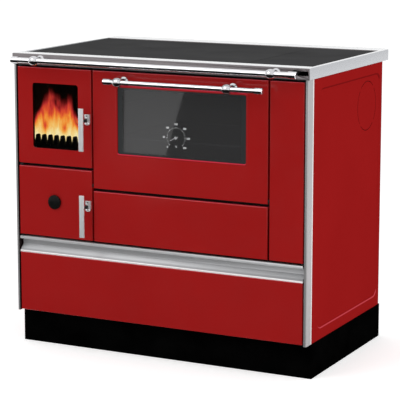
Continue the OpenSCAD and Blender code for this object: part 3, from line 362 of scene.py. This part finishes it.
def brushed(name, color, roughness, along, fine, depth, ends=0.0, uneven=1.0, metallic=1.0):
    """Metal brushed along one axis, and along Y beyond the ends if they are given."""
    made, tree, shader = finish(name, color, roughness, metallic=metallic)
    lines = streaks(tree, fine, along)
    if ends > 0.0:
        lines = end_streaks(tree, lines, fine, ends)
    dull = spread(tree, lines, 0.25, 0.75, roughness - 0.07 * uneven, roughness + 0.10 * uneven)
    tree.links.new(dull, shader.inputs["Roughness"])
    dark = tuple(part * (1.0 - 0.07 * uneven) for part in color)
    pale = tuple(min(1.0, part * (1.0 + 0.05 * uneven)) for part in color)
    mottle(tree, shader, lines, dark, pale)
    relief(tree, shader, lines, depth, 0.5)
    return made


hob_end = -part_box("hob_plate")[0].x
frame_steel = brushed(
    "frame_steel", (0.45, 0.46, 0.48), 0.26, "X", 900.0, 0.0000005, ends=hob_end, uneven=0.40, metallic=0.60
)
strip_steel = brushed("strip_steel", (0.90, 0.90, 0.91), 0.60, "Z", 700.0, 0.00001)
post_metal = brushed(
    "post_aluminium", (0.25, 0.25, 0.252), 0.42, "Z", 800.0, 0.000006, uneven=0.5, metallic=0.35
)
grip_metal = brushed(
    "grip_aluminium", (0.43, 0.435, 0.445), 0.38, "X", 800.0, 0.000004, uneven=0.5, metallic=0.45
)
zinc = brushed("galvanised_sheet", (0.42, 0.435, 0.45), 0.42, "X", 60.0, 0.00001)
metals = (frame_steel, strip_steel, post_metal, grip_metal, zinc)
print("brushed metals:", [made.name for made in metals])

# %% [markdown]
# Faces of one piece differ. The frame's top faces get a painted highlight, and its front faces a
# painted shade. Each post's outer face gets a painted light tone, paler than its front, its inner
# face, in the joint beside the doors, is painted near black as shade, and a pale pinkish painted
# highlight runs along its rear edge. A post's normal times its position, along X, is positive
# outside and negative inside, on the left and the right alike. The drawer's grip is an extruded
# profile: a painted highlight lies along each of its two lips, the lower one pinkish, and a painted
# shade darkens the band just above the lower lip; the channel keeps its plain colour.

# %% Tone the faces
tree = frame_steel.node_tree
# Painted highlight: faces that look up are tinted pale.
tinted(frame_steel, spread(tree, surface(tree, "True Normal", "Z"), 0.55, 0.75), (0.86, 0.87, 0.88))
# Painted shade: faces that look forward are tinted dark grey.
tinted(frame_steel, spread(tree, surface(tree, "True Normal", "Y"), -0.55, -0.75), (0.22, 0.20, 0.205))

tree = post_metal.node_tree
outward = calculate(tree, "MULTIPLY", surface(tree, "True Normal", "X"), surface(tree, "Position", "X"))
# Painted light: the outer faces are tinted paler than the front.
tinted(post_metal, spread(tree, outward, 0.20, 0.30), (0.400, 0.392, 0.398))
# Painted shade: the inner faces, in the joint beside the doors, are tinted near black.
tinted(post_metal, spread(tree, outward, -0.20, -0.30), (0.016, 0.004, 0.004))
post_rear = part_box("right_corner_post")[1].y
# Painted highlight: a pale pinkish line along the post's rear edge.
painted_edge_highlight = spread(tree, surface(tree, "Position", "Y"), post_rear - 0.0065, post_rear - 0.0050)
tinted(post_metal, painted_edge_highlight, (0.86, 0.82, 0.82))

tree = grip_metal.node_tree
grip_low, grip_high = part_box("drawer_grip")
level = surface(tree, "Position", "Z")
# Painted shade: the band above the lower lip is tinted darker.
tinted(grip_metal, spread(tree, level, grip_low.z + 0.0110, grip_low.z + 0.0090), (0.30, 0.30, 0.31))
# Painted highlight: a pale pinkish line along the lower lip.
tinted(grip_metal, spread(tree, level, grip_low.z + 0.0055, grip_low.z + 0.0045), (0.92, 0.88, 0.88))
# Painted highlight: the upper lip is tinted paler.
tinted(grip_metal, spread(tree, level, grip_high.z - 0.0110, grip_high.z - 0.0095), (0.62, 0.63, 0.64))
print("grip from", round(grip_low.z, 3), "to", round(grip_high.z, 3))

# %% [markdown]
# ## Chrome
# Chrome is almost a mirror. A trace of handling marks in its roughness keeps it from looking like a
# perfect computer surface. The brackets of the rail and of the oven's bar are painted black on the
# neck between the round foot and the knuckle, as painted shade in the gap between them. It is a
# band of the Y coordinate, measured from each piece's box. The handle brackets on the two left doors
# are chromed castings: their skin is less smooth and scatters part of the light.

# %% Chrome
chrome, tree, shader = finish("bright_chrome", (0.80, 0.80, 0.82), 0.07, metallic=1.0)
gloss = spread(tree, grain(tree, 90.0, detail=5.0), 0.35, 0.75, 0.05, 0.16)
tree.links.new(gloss, shader.inputs["Roughness"])


def neck_shaded_chrome(name, piece):
    """Chrome painted black, as shade, between a bracket's foot and its knuckle."""
    made, tree, shader = finish(name, (0.78, 0.78, 0.80), 0.09, metallic=1.0)
    marks = grain(tree, 90.0, detail=5.0)
    mottle(tree, shader, marks, (0.60, 0.60, 0.62), (0.72, 0.72, 0.74))
    tree.links.new(spread(tree, marks, 0.35, 0.75, 0.06, 0.16), shader.inputs["Roughness"])
    low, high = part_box(piece)
    depth = surface(tree, "Position", "Y")
    behind_knuckle = spread(tree, depth, low.y + 0.0240, low.y + 0.0250)
    before_foot = spread(tree, depth, high.y - 0.0065, high.y - 0.0075)
    # Painted shade: the neck between the knuckle and the foot is tinted black.
    tinted(made, calculate(tree, "MULTIPLY", behind_knuckle, before_foot), (0.010, 0.010, 0.011))
    return made


rail_bracket_chrome = neck_shaded_chrome("rail_bracket_chrome", "rail_brackets")
bar_bracket_chrome = neck_shaded_chrome("bar_bracket_chrome", "oven_handle_brackets")

cast_chrome, tree, shader = finish("cast_chrome", (0.86, 0.86, 0.88), 0.14, metallic=0.62)
pits = grain(tree, 420.0, detail=4.0)
mottle(tree, shader, pits, (0.82, 0.82, 0.84), (0.92, 0.92, 0.94))
relief(tree, shader, pits, 0.00003, 0.4)
chromes = (chrome, rail_bracket_chrome, bar_bracket_chrome, cast_chrome)
print("chrome finishes:", [made.name for made in chromes])

# %% [markdown]
# ## Hob, cast iron, black sheet, bricks and seals
# The hob is ground and blacked plate: dark grey, dull, with faint marks from grinding. Castings have
# a sandy skin. The casing inside has a matt heat-resistant coating. The bricks are sooted all over.
# The seals of the left doors are braided glass rope, pale and slightly fuzzy, and the oven's seal is
# dark.

# %% Dark finishes and seals
hob_plate_finish = coated(
    "hob_plate", 0.60, 0.0, (7.0, EVEN, 4.0), ((0.055, 0.055, 0.056), (0.067, 0.067, 0.068)),
    (700.0, (0.08, 1.0, 1.0), 3.0), 0.00003, 0.4,
)
cast_iron = coated(
    "cast_iron", 0.70, 0.04, (650.0, EVEN, 4.0), ((0.0012, 0.0012, 0.0012), (0.0050, 0.0046, 0.0046)),
    None, 0.00025, 0.6, span=(0.3, 0.75),
)
black_coat = coated(
    "black_coating", 0.60, 0.10, (25.0, EVEN, 5.0), ((0.009, 0.009, 0.0095), (0.020, 0.020, 0.021)),
    (900.0, EVEN, 2.0), 0.00005, 0.4,
)
plinth_black = coated(
    "plinth_black", 0.6, 0.0, (14.0, EVEN, 4.0), ((0.0006, 0.0006, 0.0006), (0.0016, 0.0016, 0.0016)),
    (1100.0, EVEN, 2.0), 0.00003, 0.4,
)
black_plastic = coated(
    "black_plastic", 0.28, 0.10, (160.0, EVEN, 3.0), ((0.0030, 0.0032, 0.0030), (0.0075, 0.0080, 0.0075)),
    (1800.0, EVEN, 1.0), 0.00003, 0.3,
)
brick = coated(
    "sooted_brick", 0.9, 0.1, (28.0, EVEN, 6.0), ((0.003, 0.0025, 0.0022), (0.022, 0.017, 0.013)),
    (260.0, EVEN, 6.0), 0.0009, 0.7, span=(0.35, 0.75),
)
dark_rope = coated(
    "oven_seal", 0.95, 0.05, (800.0, EVEN, 3.0), ((0.025, 0.025, 0.026), (0.085, 0.085, 0.088)),
    None, 0.0005, 0.6,
)

rope, tree, shader = finish("rope_seal", (0.60, 0.58, 0.53), 0.95, specular=0.05)
braid = tree.nodes.new("ShaderNodeTexWave")
braid.wave_type = "BANDS"
braid.bands_direction = "DIAGONAL"
braid.inputs["Scale"].default_value = 90.0
braid.inputs["Distortion"].default_value = 1.5
braid.inputs["Detail"].default_value = 2.0
place = tree.nodes.new("ShaderNodeTexCoord")
tree.links.new(place.outputs["Object"], braid.inputs["Vector"])
mottle(tree, shader, braid.outputs["Fac"], (0.36, 0.34, 0.30), (0.66, 0.64, 0.58), span=(0.0, 1.0))
relief(tree, shader, braid.outputs["Fac"], 0.0006, 0.6)
dark_finishes = (hob_plate_finish, cast_iron, black_coat, plinth_black, black_plastic, brick)
print("dark finishes:", [made.name for made in dark_finishes])
print("seals:", rope.name, dark_rope.name)

# %% [markdown]
# ## Glass
# The fire door's glass is clear, and the oven's outer glass is tinted. A trace of uneven polish
# softens what they mirror.

# %% Glass
POLISH = 0.02


def pane(name, tint, specular, clear=1.0):
    """Clear or tinted glass with a trace of uneven polish."""
    made, tree, shader = finish(name, tint, POLISH, specular=specular)
    shader.inputs["Transmission Weight"].default_value = clear
    shader.inputs["IOR"].default_value = 1.45
    uneven = spread(tree, grain(tree, 30.0, detail=3.0), 0.3, 0.7, POLISH * 0.5, POLISH * 1.5)
    tree.links.new(uneven, shader.inputs["Roughness"])
    return made


fire_pane = pane("fire_glass", (0.96, 0.93, 0.88), 0.10)
oven_pane = pane("oven_glass", (0.19, 0.19, 0.194), 0.30, clear=0.87)
inner_pane = pane("inner_glass", (0.80, 0.82, 0.82), 0.15)
print("panes:", fire_pane.name, oven_pane.name, inner_pane.name)

# %% [markdown]
# ## Putting the finishes on
# Each solid gets its finish by name. Real sheet and castings have no knife edges, so the crisp solids
# also get a narrow bevel. A loaded solid is loose triangles, so Weld joins them first, and both stay
# modifiers: the solid itself is never changed. The door panels and side panels go without a bevel.

# %% Dress the solids
def dress(names, material, edge=0.0, segments=2):
    """Gives solids a finish and, if asked, a narrow bevel."""
    for name in names.split():
        piece = nodes[name]
        piece.data.materials.clear()
        piece.data.materials.append(material)
        if edge > 0.0:
            weld = piece.modifiers.new("join", "WELD")
            weld.merge_threshold = 0.00002
            bevel = piece.modifiers.new("edge", "BEVEL")
            bevel.width = edge
            bevel.segments = segments
            bevel.limit_method = "ANGLE"
            bevel.angle_limit = math.radians(40.0)
            bevel.harden_normals = True
            bevel.miter_outer = "MITER_ARC"
            piece.data.shade_smooth()
    print(material.name, "on", len(names.split()), "solids")


dress("fire_door_panel ash_door_panel oven_door_panel", enamel)
dress("lower_front_panel right_front_panel drawer_front", enamel, 0.0012)
dress("left_side_panel right_side_panel", side_enamel)
dress("top_frame", frame_steel, 0.0012, 3)
dress("left_corner_post right_corner_post", post_metal, 0.0006)
dress("drawer_grip", grip_metal, 0.0008)
dress("fire_handle ash_handle", strip_steel, 0.0004)
dress("hob_plate hob_side_plate", hob_plate_finish, 0.0010)
dress("safety_rail oven_handle_bar oven_rack thermometer_pointer", chrome)
dress("rail_brackets", rail_bracket_chrome)
dress("oven_handle_brackets", bar_bracket_chrome)
dress("fire_handle_bracket ash_handle_bracket", cast_chrome, 0.0008)
dress("plinth", plinth_black, 0.0010)
dress("front_frame inner_casing oven_box flue_partition flue_spigot damper_pivot soot_cover", black_coat)
dress("left_door_hinges oven_door_hinges fire_latch ash_latch ash_pan damper_lever", black_coat)
dress("ash_door_liner oven_door_liner", black_coat)
dress("fire_grate log_guard fire_door_frame hob_bridge", cast_iron, 0.0010)
dress("firebricks", brick, 0.0015)
dress("back_panel base_plate drawer_box drawer_runners air_shutter", zinc)
dress("air_knob damper_knob thermometer_body", black_plastic)
dress("fire_door_seal ash_door_seal", rope)
dress("oven_door_seal", dark_rope)
dress("fire_door_glass", fire_pane)
dress("oven_door_glass", oven_pane)
dress("oven_inner_glass", inner_pane)

# %% [markdown]
# ## Pieces that only Blender makes
# A new mesh becomes a piece of the stove when it is told which body it moves with.

# %% Make new pieces
def piece_from(name, shape, material, body, smooth=False):
    """Turns a bmesh into a piece of the stove that moves with a body."""
    mesh = bpy.data.meshes.new(name)
    shape.to_mesh(mesh)
    shape.free()
    mesh.materials.append(material)
    if smooth:
        mesh.shade_smooth()
    piece = bpy.data.objects.new(name, mesh)
    scene.collection.objects.link(piece)
    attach(piece, body)
    return piece


def add_mesh(shape, mesh):
    """Adds a mesh to a bmesh and removes the mesh."""
    shape.from_mesh(mesh)
    bpy.data.meshes.remove(mesh)


# %% [markdown]
# ## The thermometer's dial
# The numbers, the ring of dots and the sign for degrees are printed on the oven's outer glass. Each
# number is a text object turned into a mesh. It is laid a twentieth of a millimetre in front of the
# pane, as a print is. The scale runs clockwise over 270 degrees, from 0 at the lower left to 300.

# %% Print the dial
DIAL_X = 0.0635
DIAL_Z = 0.6395
NUMBER_RING = 0.0375
DOT_RING = 0.028
SCALE_START = 225.0
print_white, tree, shader = finish("dial_print", (0.80, 0.81, 0.82), 0.5, specular=0.3)
mottle(tree, shader, grain(tree, 900.0, detail=2.0), (0.74, 0.75, 0.76), (0.86, 0.87, 0.88))
glass_low, glass_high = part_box("oven_door_glass")
print_y = glass_low.y - 0.00005
upright = Matrix.Rotation(math.radians(90.0), 4, "X")


def printed(words, size, x, z):
    """A short text as a flat mesh on the glass, centred on a point."""
    data = bpy.data.curves.new("print", "FONT")
    data.body = words
    data.size = size
    data.align_x = "CENTER"
    data.align_y = "CENTER"
    data.resolution_u = 3
    data.offset = size * 0.012
    text = bpy.data.objects.new("print", data)
    scene.collection.objects.link(text)
    bpy.context.view_layer.update()
    mesh = bpy.data.meshes.new_from_object(text)
    bpy.data.objects.remove(text)
    mesh.transform(Matrix.Translation((x, print_y, z)) @ upright)
    return mesh


def on_ring(radius, degrees):
    """The x and z of a point on a ring round the dial's centre."""
    angle = math.radians(degrees)
    return DIAL_X + radius * math.cos(angle), DIAL_Z + radius * math.sin(angle)


dial = bmesh.new()
for index in range(7):
    add_mesh(dial, printed(str(50 * index), 0.0070, *on_ring(NUMBER_RING, SCALE_START - 45.0 * index)))
add_mesh(dial, printed("°C", 0.0062, DIAL_X, DIAL_Z - 0.0245))
for index in range(31):
    x, z = on_ring(DOT_RING, SCALE_START - 9.0 * index)
    size = 0.0009 if index % 5 == 0 else 0.0006
    spot = Matrix.Translation((x, print_y, z)) @ upright
    bmesh.ops.create_circle(dial, cap_ends=True, segments=10, radius=size, matrix=spot)
dial_piece = piece_from("dial_print", dial, print_white, "oven_door")
print("dial faces:", len(dial_piece.data.polygons))

# %% [markdown]
# ## The edge of the oven's window
# The enamelled sheet is drawn up to a low, rounded rim round the window. Its enamel is less glossy,
# and the lower side, which faces up, gets a painted highlight. The glass has a dark printed border,
# wider at the sides, with rounded corners. Both are rings: loops of points with the same count, joined
# by faces. A loop is the window's outline, grown outwards.

# %% Make the rim and the border
GLASS_LAP = 0.012
WINDOW_RADIUS = 0.005
ARC_STEPS = 8
print_black, tree, shader = finish("glass_border", (0.027, 0.029, 0.030), 0.04, specular=0.40)
mottle(tree, shader, grain(tree, 300.0, detail=2.0), (0.025, 0.027, 0.028), (0.029, 0.031, 0.032))
rim_enamel, tree, shader = finish("rim_enamel", (0.27, 0.008, 0.008), 0.30, specular=0.06)
mottle(tree, shader, grain(tree, 4.0, detail=3.0), (0.250, 0.0075, 0.0078), (0.270, 0.0085, 0.0088))
# Painted highlight: faces of the rim that look up are tinted pale red.
tinted(rim_enamel, spread(tree, surface(tree, "True Normal", "Z"), 0.15, 0.40), (0.52, 0.018, 0.045))


def window_loop(shape, wider, higher, radius, y):
    """A rounded outline of the window, grown outwards at its sides and at its top and bottom."""
    points = []
    left = glass_low.x + GLASS_LAP - wider
    right = glass_high.x - GLASS_LAP + wider
    low = glass_low.z + GLASS_LAP - higher
    high = glass_high.z - GLASS_LAP + higher
    for x, z, start in ((right, high, 0.0), (left, high, 90.0), (left, low, 180.0), (right, low, 270.0)):
        middle = math.radians(start + 45.0)
        center_x = x - math.copysign(radius, math.cos(middle))
        center_z = z - math.copysign(radius, math.sin(middle))
        for step in range(ARC_STEPS + 1):
            angle = math.radians(start + 90.0 * step / ARC_STEPS)
            place = (center_x + radius * math.cos(angle), y, center_z + radius * math.sin(angle))
            points.append(shape.verts.new(place))
    return points


def window_ring(name, loops, material):
    """Joins loops round the window into a ring that rides on the oven door."""
    shape = bmesh.new()
    rows = [window_loop(shape, *loop) for loop in loops]
    for first, second in zip(rows, rows[1:]):
        for index in range(len(first)):
            after = (index + 1) % len(first)
            shape.faces.new((first[index], first[after], second[after], second[index]))
    bmesh.ops.recalc_face_normals(shape, faces=shape.faces)
    if sum(face.normal.y for face in shape.faces) > 0.0:
        bmesh.ops.reverse_faces(shape, faces=shape.faces)
    return piece_from(name, shape, material, "oven_door")


face_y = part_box("oven_door_panel")[0].y
rim_profile = (
    (0.0002, 0.0008), (0.0002, -0.0001), (0.0026, -0.0012),
    (0.0036, -0.0012), (0.0062, -0.0001), (0.0064, 0.0002),
)
rim_loops = [(out, out, WINDOW_RADIUS + out, face_y + back) for out, back in rim_profile]
border_loops = [(-0.0155, -0.0050, 0.0100, print_y), (-0.0002, -0.0002, 0.0048, print_y)]
rim_piece = window_ring("oven_window_rim", rim_loops, rim_enamel)
border_piece = window_ring("glass_border", border_loops, print_black)
print("rim and border faces:", len(rim_piece.data.polygons), len(border_piece.data.polygons))

# %% [markdown]
# ## The fire
# Behind the fire door's glass, flames rise from the embers, with the toothed guard dark in front of
# them. Each sheet of flame is a fine grid. Its points are pushed into gentle folds, and a colour
# attribute says how hot each point is: full at the root, less towards the outline of the tongues,
# and nothing above it, where the sheet turns clear.

# %% Flame finish
def heat_ramp(tree, value, stops):
    """A colour ramp over a value; stops are position and colour."""
    ramp = tree.nodes.new("ShaderNodeValToRGB")
    ramp.color_ramp.elements[0].position = stops[0][0]
    ramp.color_ramp.elements[0].color = (*stops[0][1], 1.0)
    ramp.color_ramp.elements[1].position = stops[-1][0]
    ramp.color_ramp.elements[1].color = (*stops[-1][1], 1.0)
    for position, color in stops[1:-1]:
        stop = ramp.color_ramp.elements.new(position)
        stop.color = (*color, 1.0)
    tree.links.new(value, ramp.inputs["Fac"])
    return ramp.outputs["Color"]


flame, tree, shader = finish("flame", (0.0, 0.0, 0.0), 1.0, specular=0.0)
heat = tree.nodes.new("ShaderNodeAttribute")
heat.attribute_name = "warmth"
flicker = grain(tree, 75.0, (1.0, 1.0, 0.28), detail=3.0, distortion=0.7)
licks = spread(tree, flicker, 0.25, 0.75, -0.15, 0.15)
stops = [
    (0.00, (0.030, 0.002, 0.002)),
    (0.14, (0.24, 0.012, 0.013)),
    (0.28, (0.52, 0.032, 0.030)),
    (0.42, (0.76, 0.085, 0.032)),
    (0.60, (0.94, 0.290, 0.040)),
    (0.78, (0.97, 0.540, 0.130)),
    (0.94, (0.98, 0.780, 0.330)),
    (1.00, (0.99, 0.850, 0.460)),
]
glow = heat_ramp(tree, calculate(tree, "ADD", heat.outputs["Fac"], licks, clamp=True), stops)
tree.links.new(glow, shader.inputs["Emission Color"])
shader.inputs["Emission Strength"].default_value = 1.0
tree.links.new(spread(tree, heat.outputs["Fac"], 0.0, 0.30), shader.inputs["Alpha"])
print("flame colours:", len(stops))

# %% [markdown]
# The outline of the tongues is a curve through points of x and height, and it is blurred a little
# sideways. Cool cores, each a soft ellipse, part the tongues. A core is x, z, its half width, its
# half height and how much heat it takes away; a negative one adds heat.

# %% Shape the flames
ROOT_LEVEL = 0.560
TOP_LEVEL = 0.775
COOLING_FROM = 0.615
COOLING_OVER = 0.098
SOFT_EDGE = 0.026
BLUR = (-0.006, -0.003, 0.0, 0.003, 0.006)
grate_low, grate_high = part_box("fire_grate")


def within(value):
    """Keeps a value between 0 and 1."""
    return max(0.0, min(1.0, value))


def eased(x, points):
    """A smooth curve through points of x and height."""
    for (x_1, z_1), (x_2, z_2) in zip(points[:-1], points[1:]):
        if x_1 <= x <= x_2:
            share = (x - x_1) / (x_2 - x_1)
            return z_1 + (z_2 - z_1) * (0.5 - 0.5 * math.cos(math.pi * share))
    return 0.0


def flame_sheet(y, left, right, outline_points, cores, phase):
    """One folded sheet of flame between two sides, as a bmesh."""
    sheet = bmesh.new()
    bmesh.ops.create_grid(sheet, x_segments=120, y_segments=130, size=0.5)
    layer = sheet.verts.layers.float.new("warmth")
    for point in sheet.verts:
        x = left + (right - left) * (point.co.x + 0.5)
        z = ROOT_LEVEL + (TOP_LEVEL - ROOT_LEVEL) * (point.co.y + 0.5)
        lean = 0.0012 * math.sin(z * 75.0 + phase)
        depth = 0.0
        for aside in BLUR:
            depth += within((eased(x + lean + aside, outline_points) - z) / SOFT_EDGE) / len(BLUR)
        hot = depth ** 0.55 * (0.26 + 0.74 * within(1.0 - (z - COOLING_FROM) / COOLING_OVER))
        for core_x, core_z, wide, tall, cool in cores:
            far = ((x + lean - core_x) / wide) ** 2 + ((z - core_z) / tall) ** 2
            hot -= cool * depth * math.exp(-far)
        fold = 0.0022 * math.sin(x * 70.0 + z * 30.0 + phase)
        point.co = Vector((x, y + fold, z))
        point[layer] = within(hot)
    return sheet


front_outline = [
    (-0.432, 0.640), (-0.4152, 0.660), (-0.4009, 0.682), (-0.3907, 0.697), (-0.3865, 0.718),
    (-0.3803, 0.733), (-0.3703, 0.738), (-0.3583, 0.754), (-0.3487, 0.738), (-0.3389, 0.736),
    (-0.3290, 0.718), (-0.3230, 0.724), (-0.3165, 0.686), (-0.3080, 0.726), (-0.2985, 0.738),
    (-0.2935, 0.716), (-0.2900, 0.690), (-0.2860, 0.668), (-0.2800, 0.656), (-0.2700, 0.650),
    (-0.242, 0.646),
]
front_cores = [
    (-0.3799, 0.6380, 0.0080, 0.016, 0.36), (-0.3170, 0.6350, 0.0085, 0.014, 0.36),
    (-0.3870, 0.6600, 0.0040, 0.022, 0.24), (-0.3640, 0.6760, 0.0075, 0.018, 0.20),
    (-0.3300, 0.6900, 0.0100, 0.018, 0.18), (-0.3440, 0.7100, 0.0050, 0.016, 0.12),
    (-0.2960, 0.6700, 0.0040, 0.020, -0.16), (-0.4000, 0.6500, 0.0050, 0.014, -0.10),
]
rear_outline = [
    (-0.416, 0.640), (-0.392, 0.670), (-0.372, 0.690), (-0.352, 0.676), (-0.330, 0.684),
    (-0.310, 0.660), (-0.294, 0.640), (-0.272, 0.610), (-0.242, 0.580),
]
rear_cores = [(-0.360, 0.670, 0.008, 0.030, 0.30), (-0.300, 0.650, 0.008, 0.025, 0.30)]
front_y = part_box("log_guard")[1].y + 0.0050
rear_y = grate_low.y + 0.0300
sheets = [
    (front_y, -0.4300, -0.2420, front_outline, front_cores, 0.4),
    (rear_y, -0.4150, -0.2420, rear_outline, rear_cores, 2.6),
]
for number, row in enumerate(sheets, 1):
    flames = piece_from(f"flames_{number}", flame_sheet(*row), flame, "stove", smooth=True)
    print("flame sheet", number, len(flames.data.polygons), "faces at y", round(row[0], 4))

# %% [markdown]
# The embers are a low heap on the grate: a grid pushed up by waves, black on its lumps and glowing in
# its cracks.

# %% Lay the embers
ember, tree, shader = finish("embers", (0.02, 0.015, 0.012), 0.95, specular=0.05)
cracks = tree.nodes.new("ShaderNodeTexVoronoi")
cracks.feature = "DISTANCE_TO_EDGE"
cracks.inputs["Scale"].default_value = 62.0
place = tree.nodes.new("ShaderNodeTexCoord")
tree.links.new(place.outputs["Object"], cracks.inputs["Vector"])
hot = spread(tree, cracks.outputs["Distance"], 0.0, 0.16, 1.0, 0.0)
stops = [
    (0.0, (0.012, 0.009, 0.008)),
    (0.45, (0.10, 0.012, 0.003)),
    (0.75, (0.80, 0.14, 0.02)),
    (1.0, (1.0, 0.42, 0.08)),
]
glow = heat_ramp(tree, hot, stops)
tree.links.new(glow, shader.inputs["Base Color"])
tree.links.new(glow, shader.inputs["Emission Color"])
shader.inputs["Emission Strength"].default_value = 0.6
relief(tree, shader, cracks.outputs["Distance"], 0.003, 0.8)

BED_WIDTH = 0.176
bed_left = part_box("firebricks")[0].x + 0.029
bed_front = grate_low.y + 0.006
bed_depth = grate_high.y - grate_low.y - 0.012
heap = bmesh.new()
bmesh.ops.create_grid(heap, x_segments=56, y_segments=96, size=0.5)
for point in heap.verts:
    across, along = point.co.x, point.co.y
    x = bed_left + (across + 0.5) * BED_WIDTH
    y = bed_front + (along + 0.5) * bed_depth
    edge = min(1.0, 6.0 * (0.5 - abs(across)), 8.0 * (0.5 - abs(along)))
    wave = math.sin(x * 230.0 + 3.0 * math.sin(y * 90.0)) + math.sin(y * 260.0 + 2.0 * math.sin(x * 120.0))
    lump = 0.5 + 0.25 * wave
    rise = max(0.0, edge) ** 0.5 * (0.010 + 0.018 * lump)
    point.co = Vector((x, y, grate_high.z + 0.0008 + rise))
bed = piece_from("embers", heap, ember, "stove", smooth=True)
print("ember bed:", len(bed.data.polygons), "faces")

# %% [markdown]
# ## Screws
# The handle castings are held by one screw each, and the rear panel by a row of screws. One screw
# head is a low dome with a cross on it, and it is made anew at each place.

# %% Make a screw head
screw_steel, tree, shader = finish("screw_steel", (0.02, 0.02, 0.021), 0.45, metallic=0.2, specular=0.3)
mottle(tree, shader, grain(tree, 1400.0, detail=3.0), (0.012, 0.012, 0.013), (0.035, 0.035, 0.037))
pale_screw, tree, shader = finish("zinc_screw", (0.60, 0.61, 0.62), 0.35, metallic=1.0)
mottle(tree, shader, grain(tree, 1400.0, detail=3.0), (0.48, 0.49, 0.50), (0.68, 0.69, 0.70))


def screw_head(radius, height):
    """A domed head with a cross; its seat is at z = 0 and it points along +Z."""
    head = bmesh.new()
    profile = [head.verts.new((radius, 0.0, 0.0))]
    for step in (0.0, 1.5, 3.0, 4.0):
        angle = 0.35 * step
        profile.append(head.verts.new((radius * math.cos(angle), 0.0, height * math.sin(angle))))
    profile.append(head.verts.new((0.0, 0.0, height)))
    edges = [head.edges.new(pair) for pair in zip(profile[:-1], profile[1:])]
    full_turn = {"cent": (0, 0, 0), "axis": (0, 0, 1), "angle": math.tau, "steps": 16}
    bmesh.ops.spin(head, geom=profile + edges, use_merge=True, **full_turn)
    bmesh.ops.remove_doubles(head, verts=head.verts[:], dist=0.00001)
    arm = radius * 0.62
    for turn in (0.0, 90.0):
        size = Matrix.Diagonal((2.0 * arm, arm * 0.34, height * 0.10, 1.0))
        spot = Matrix.Translation((0.0, 0.0, height)) @ Matrix.Rotation(math.radians(turn), 4, "Z") @ size
        bmesh.ops.create_cube(head, size=1.0, matrix=spot)
    bmesh.ops.recalc_face_normals(head, faces=head.faces[:])
    return head


def set_screws(name, places, direction, radius, height, material, body):
    """One piece of screw heads at several places, all facing one way."""
    made = bmesh.new()
    turn = Vector((0, 0, 1)).rotation_difference(Vector(direction)).to_matrix().to_4x4()
    for spot in places:
        head = screw_head(radius, height)
        head.transform(Matrix.Translation(spot) @ turn)
        part = bpy.data.meshes.new("part")
        head.to_mesh(part)
        head.free()
        add_mesh(made, part)
    piece = piece_from(name, made, material, body)
    print(name, len(places), "heads,", len(piece.data.polygons), "faces")


# %% [markdown]
# The screws of the two brackets move with their doors. Those of the rear panel stay with the stove.

# %% Set the screws
for door in ("fire", "ash"):
    pad_low, pad_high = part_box(f"{door}_handle_bracket")
    middle = (pad_low.x + pad_high.x) / 2
    spot = (middle - 0.001, pad_high.y - 0.0038, pad_high.z - 0.005)
    set_screws(f"{door}_bracket_screw", [spot], (0, -1, 0), 0.0025, 0.0010, screw_steel, f"{door}_door")
back_low, back_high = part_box("back_panel")
upright_edges = (back_low.x + 0.008, back_high.x - 0.008)
spots = [(x, back_high.y, z) for x in upright_edges for z in (0.112, 0.285, 0.458, 0.631, 0.804)]
spots += [(x, back_high.y, z) for x in (-0.30, -0.15, 0.0, 0.15) for z in (0.112, 0.806)]
set_screws("back_screws", spots, (0, 1, 0), 0.004, 0.002, pale_screw, "stove")
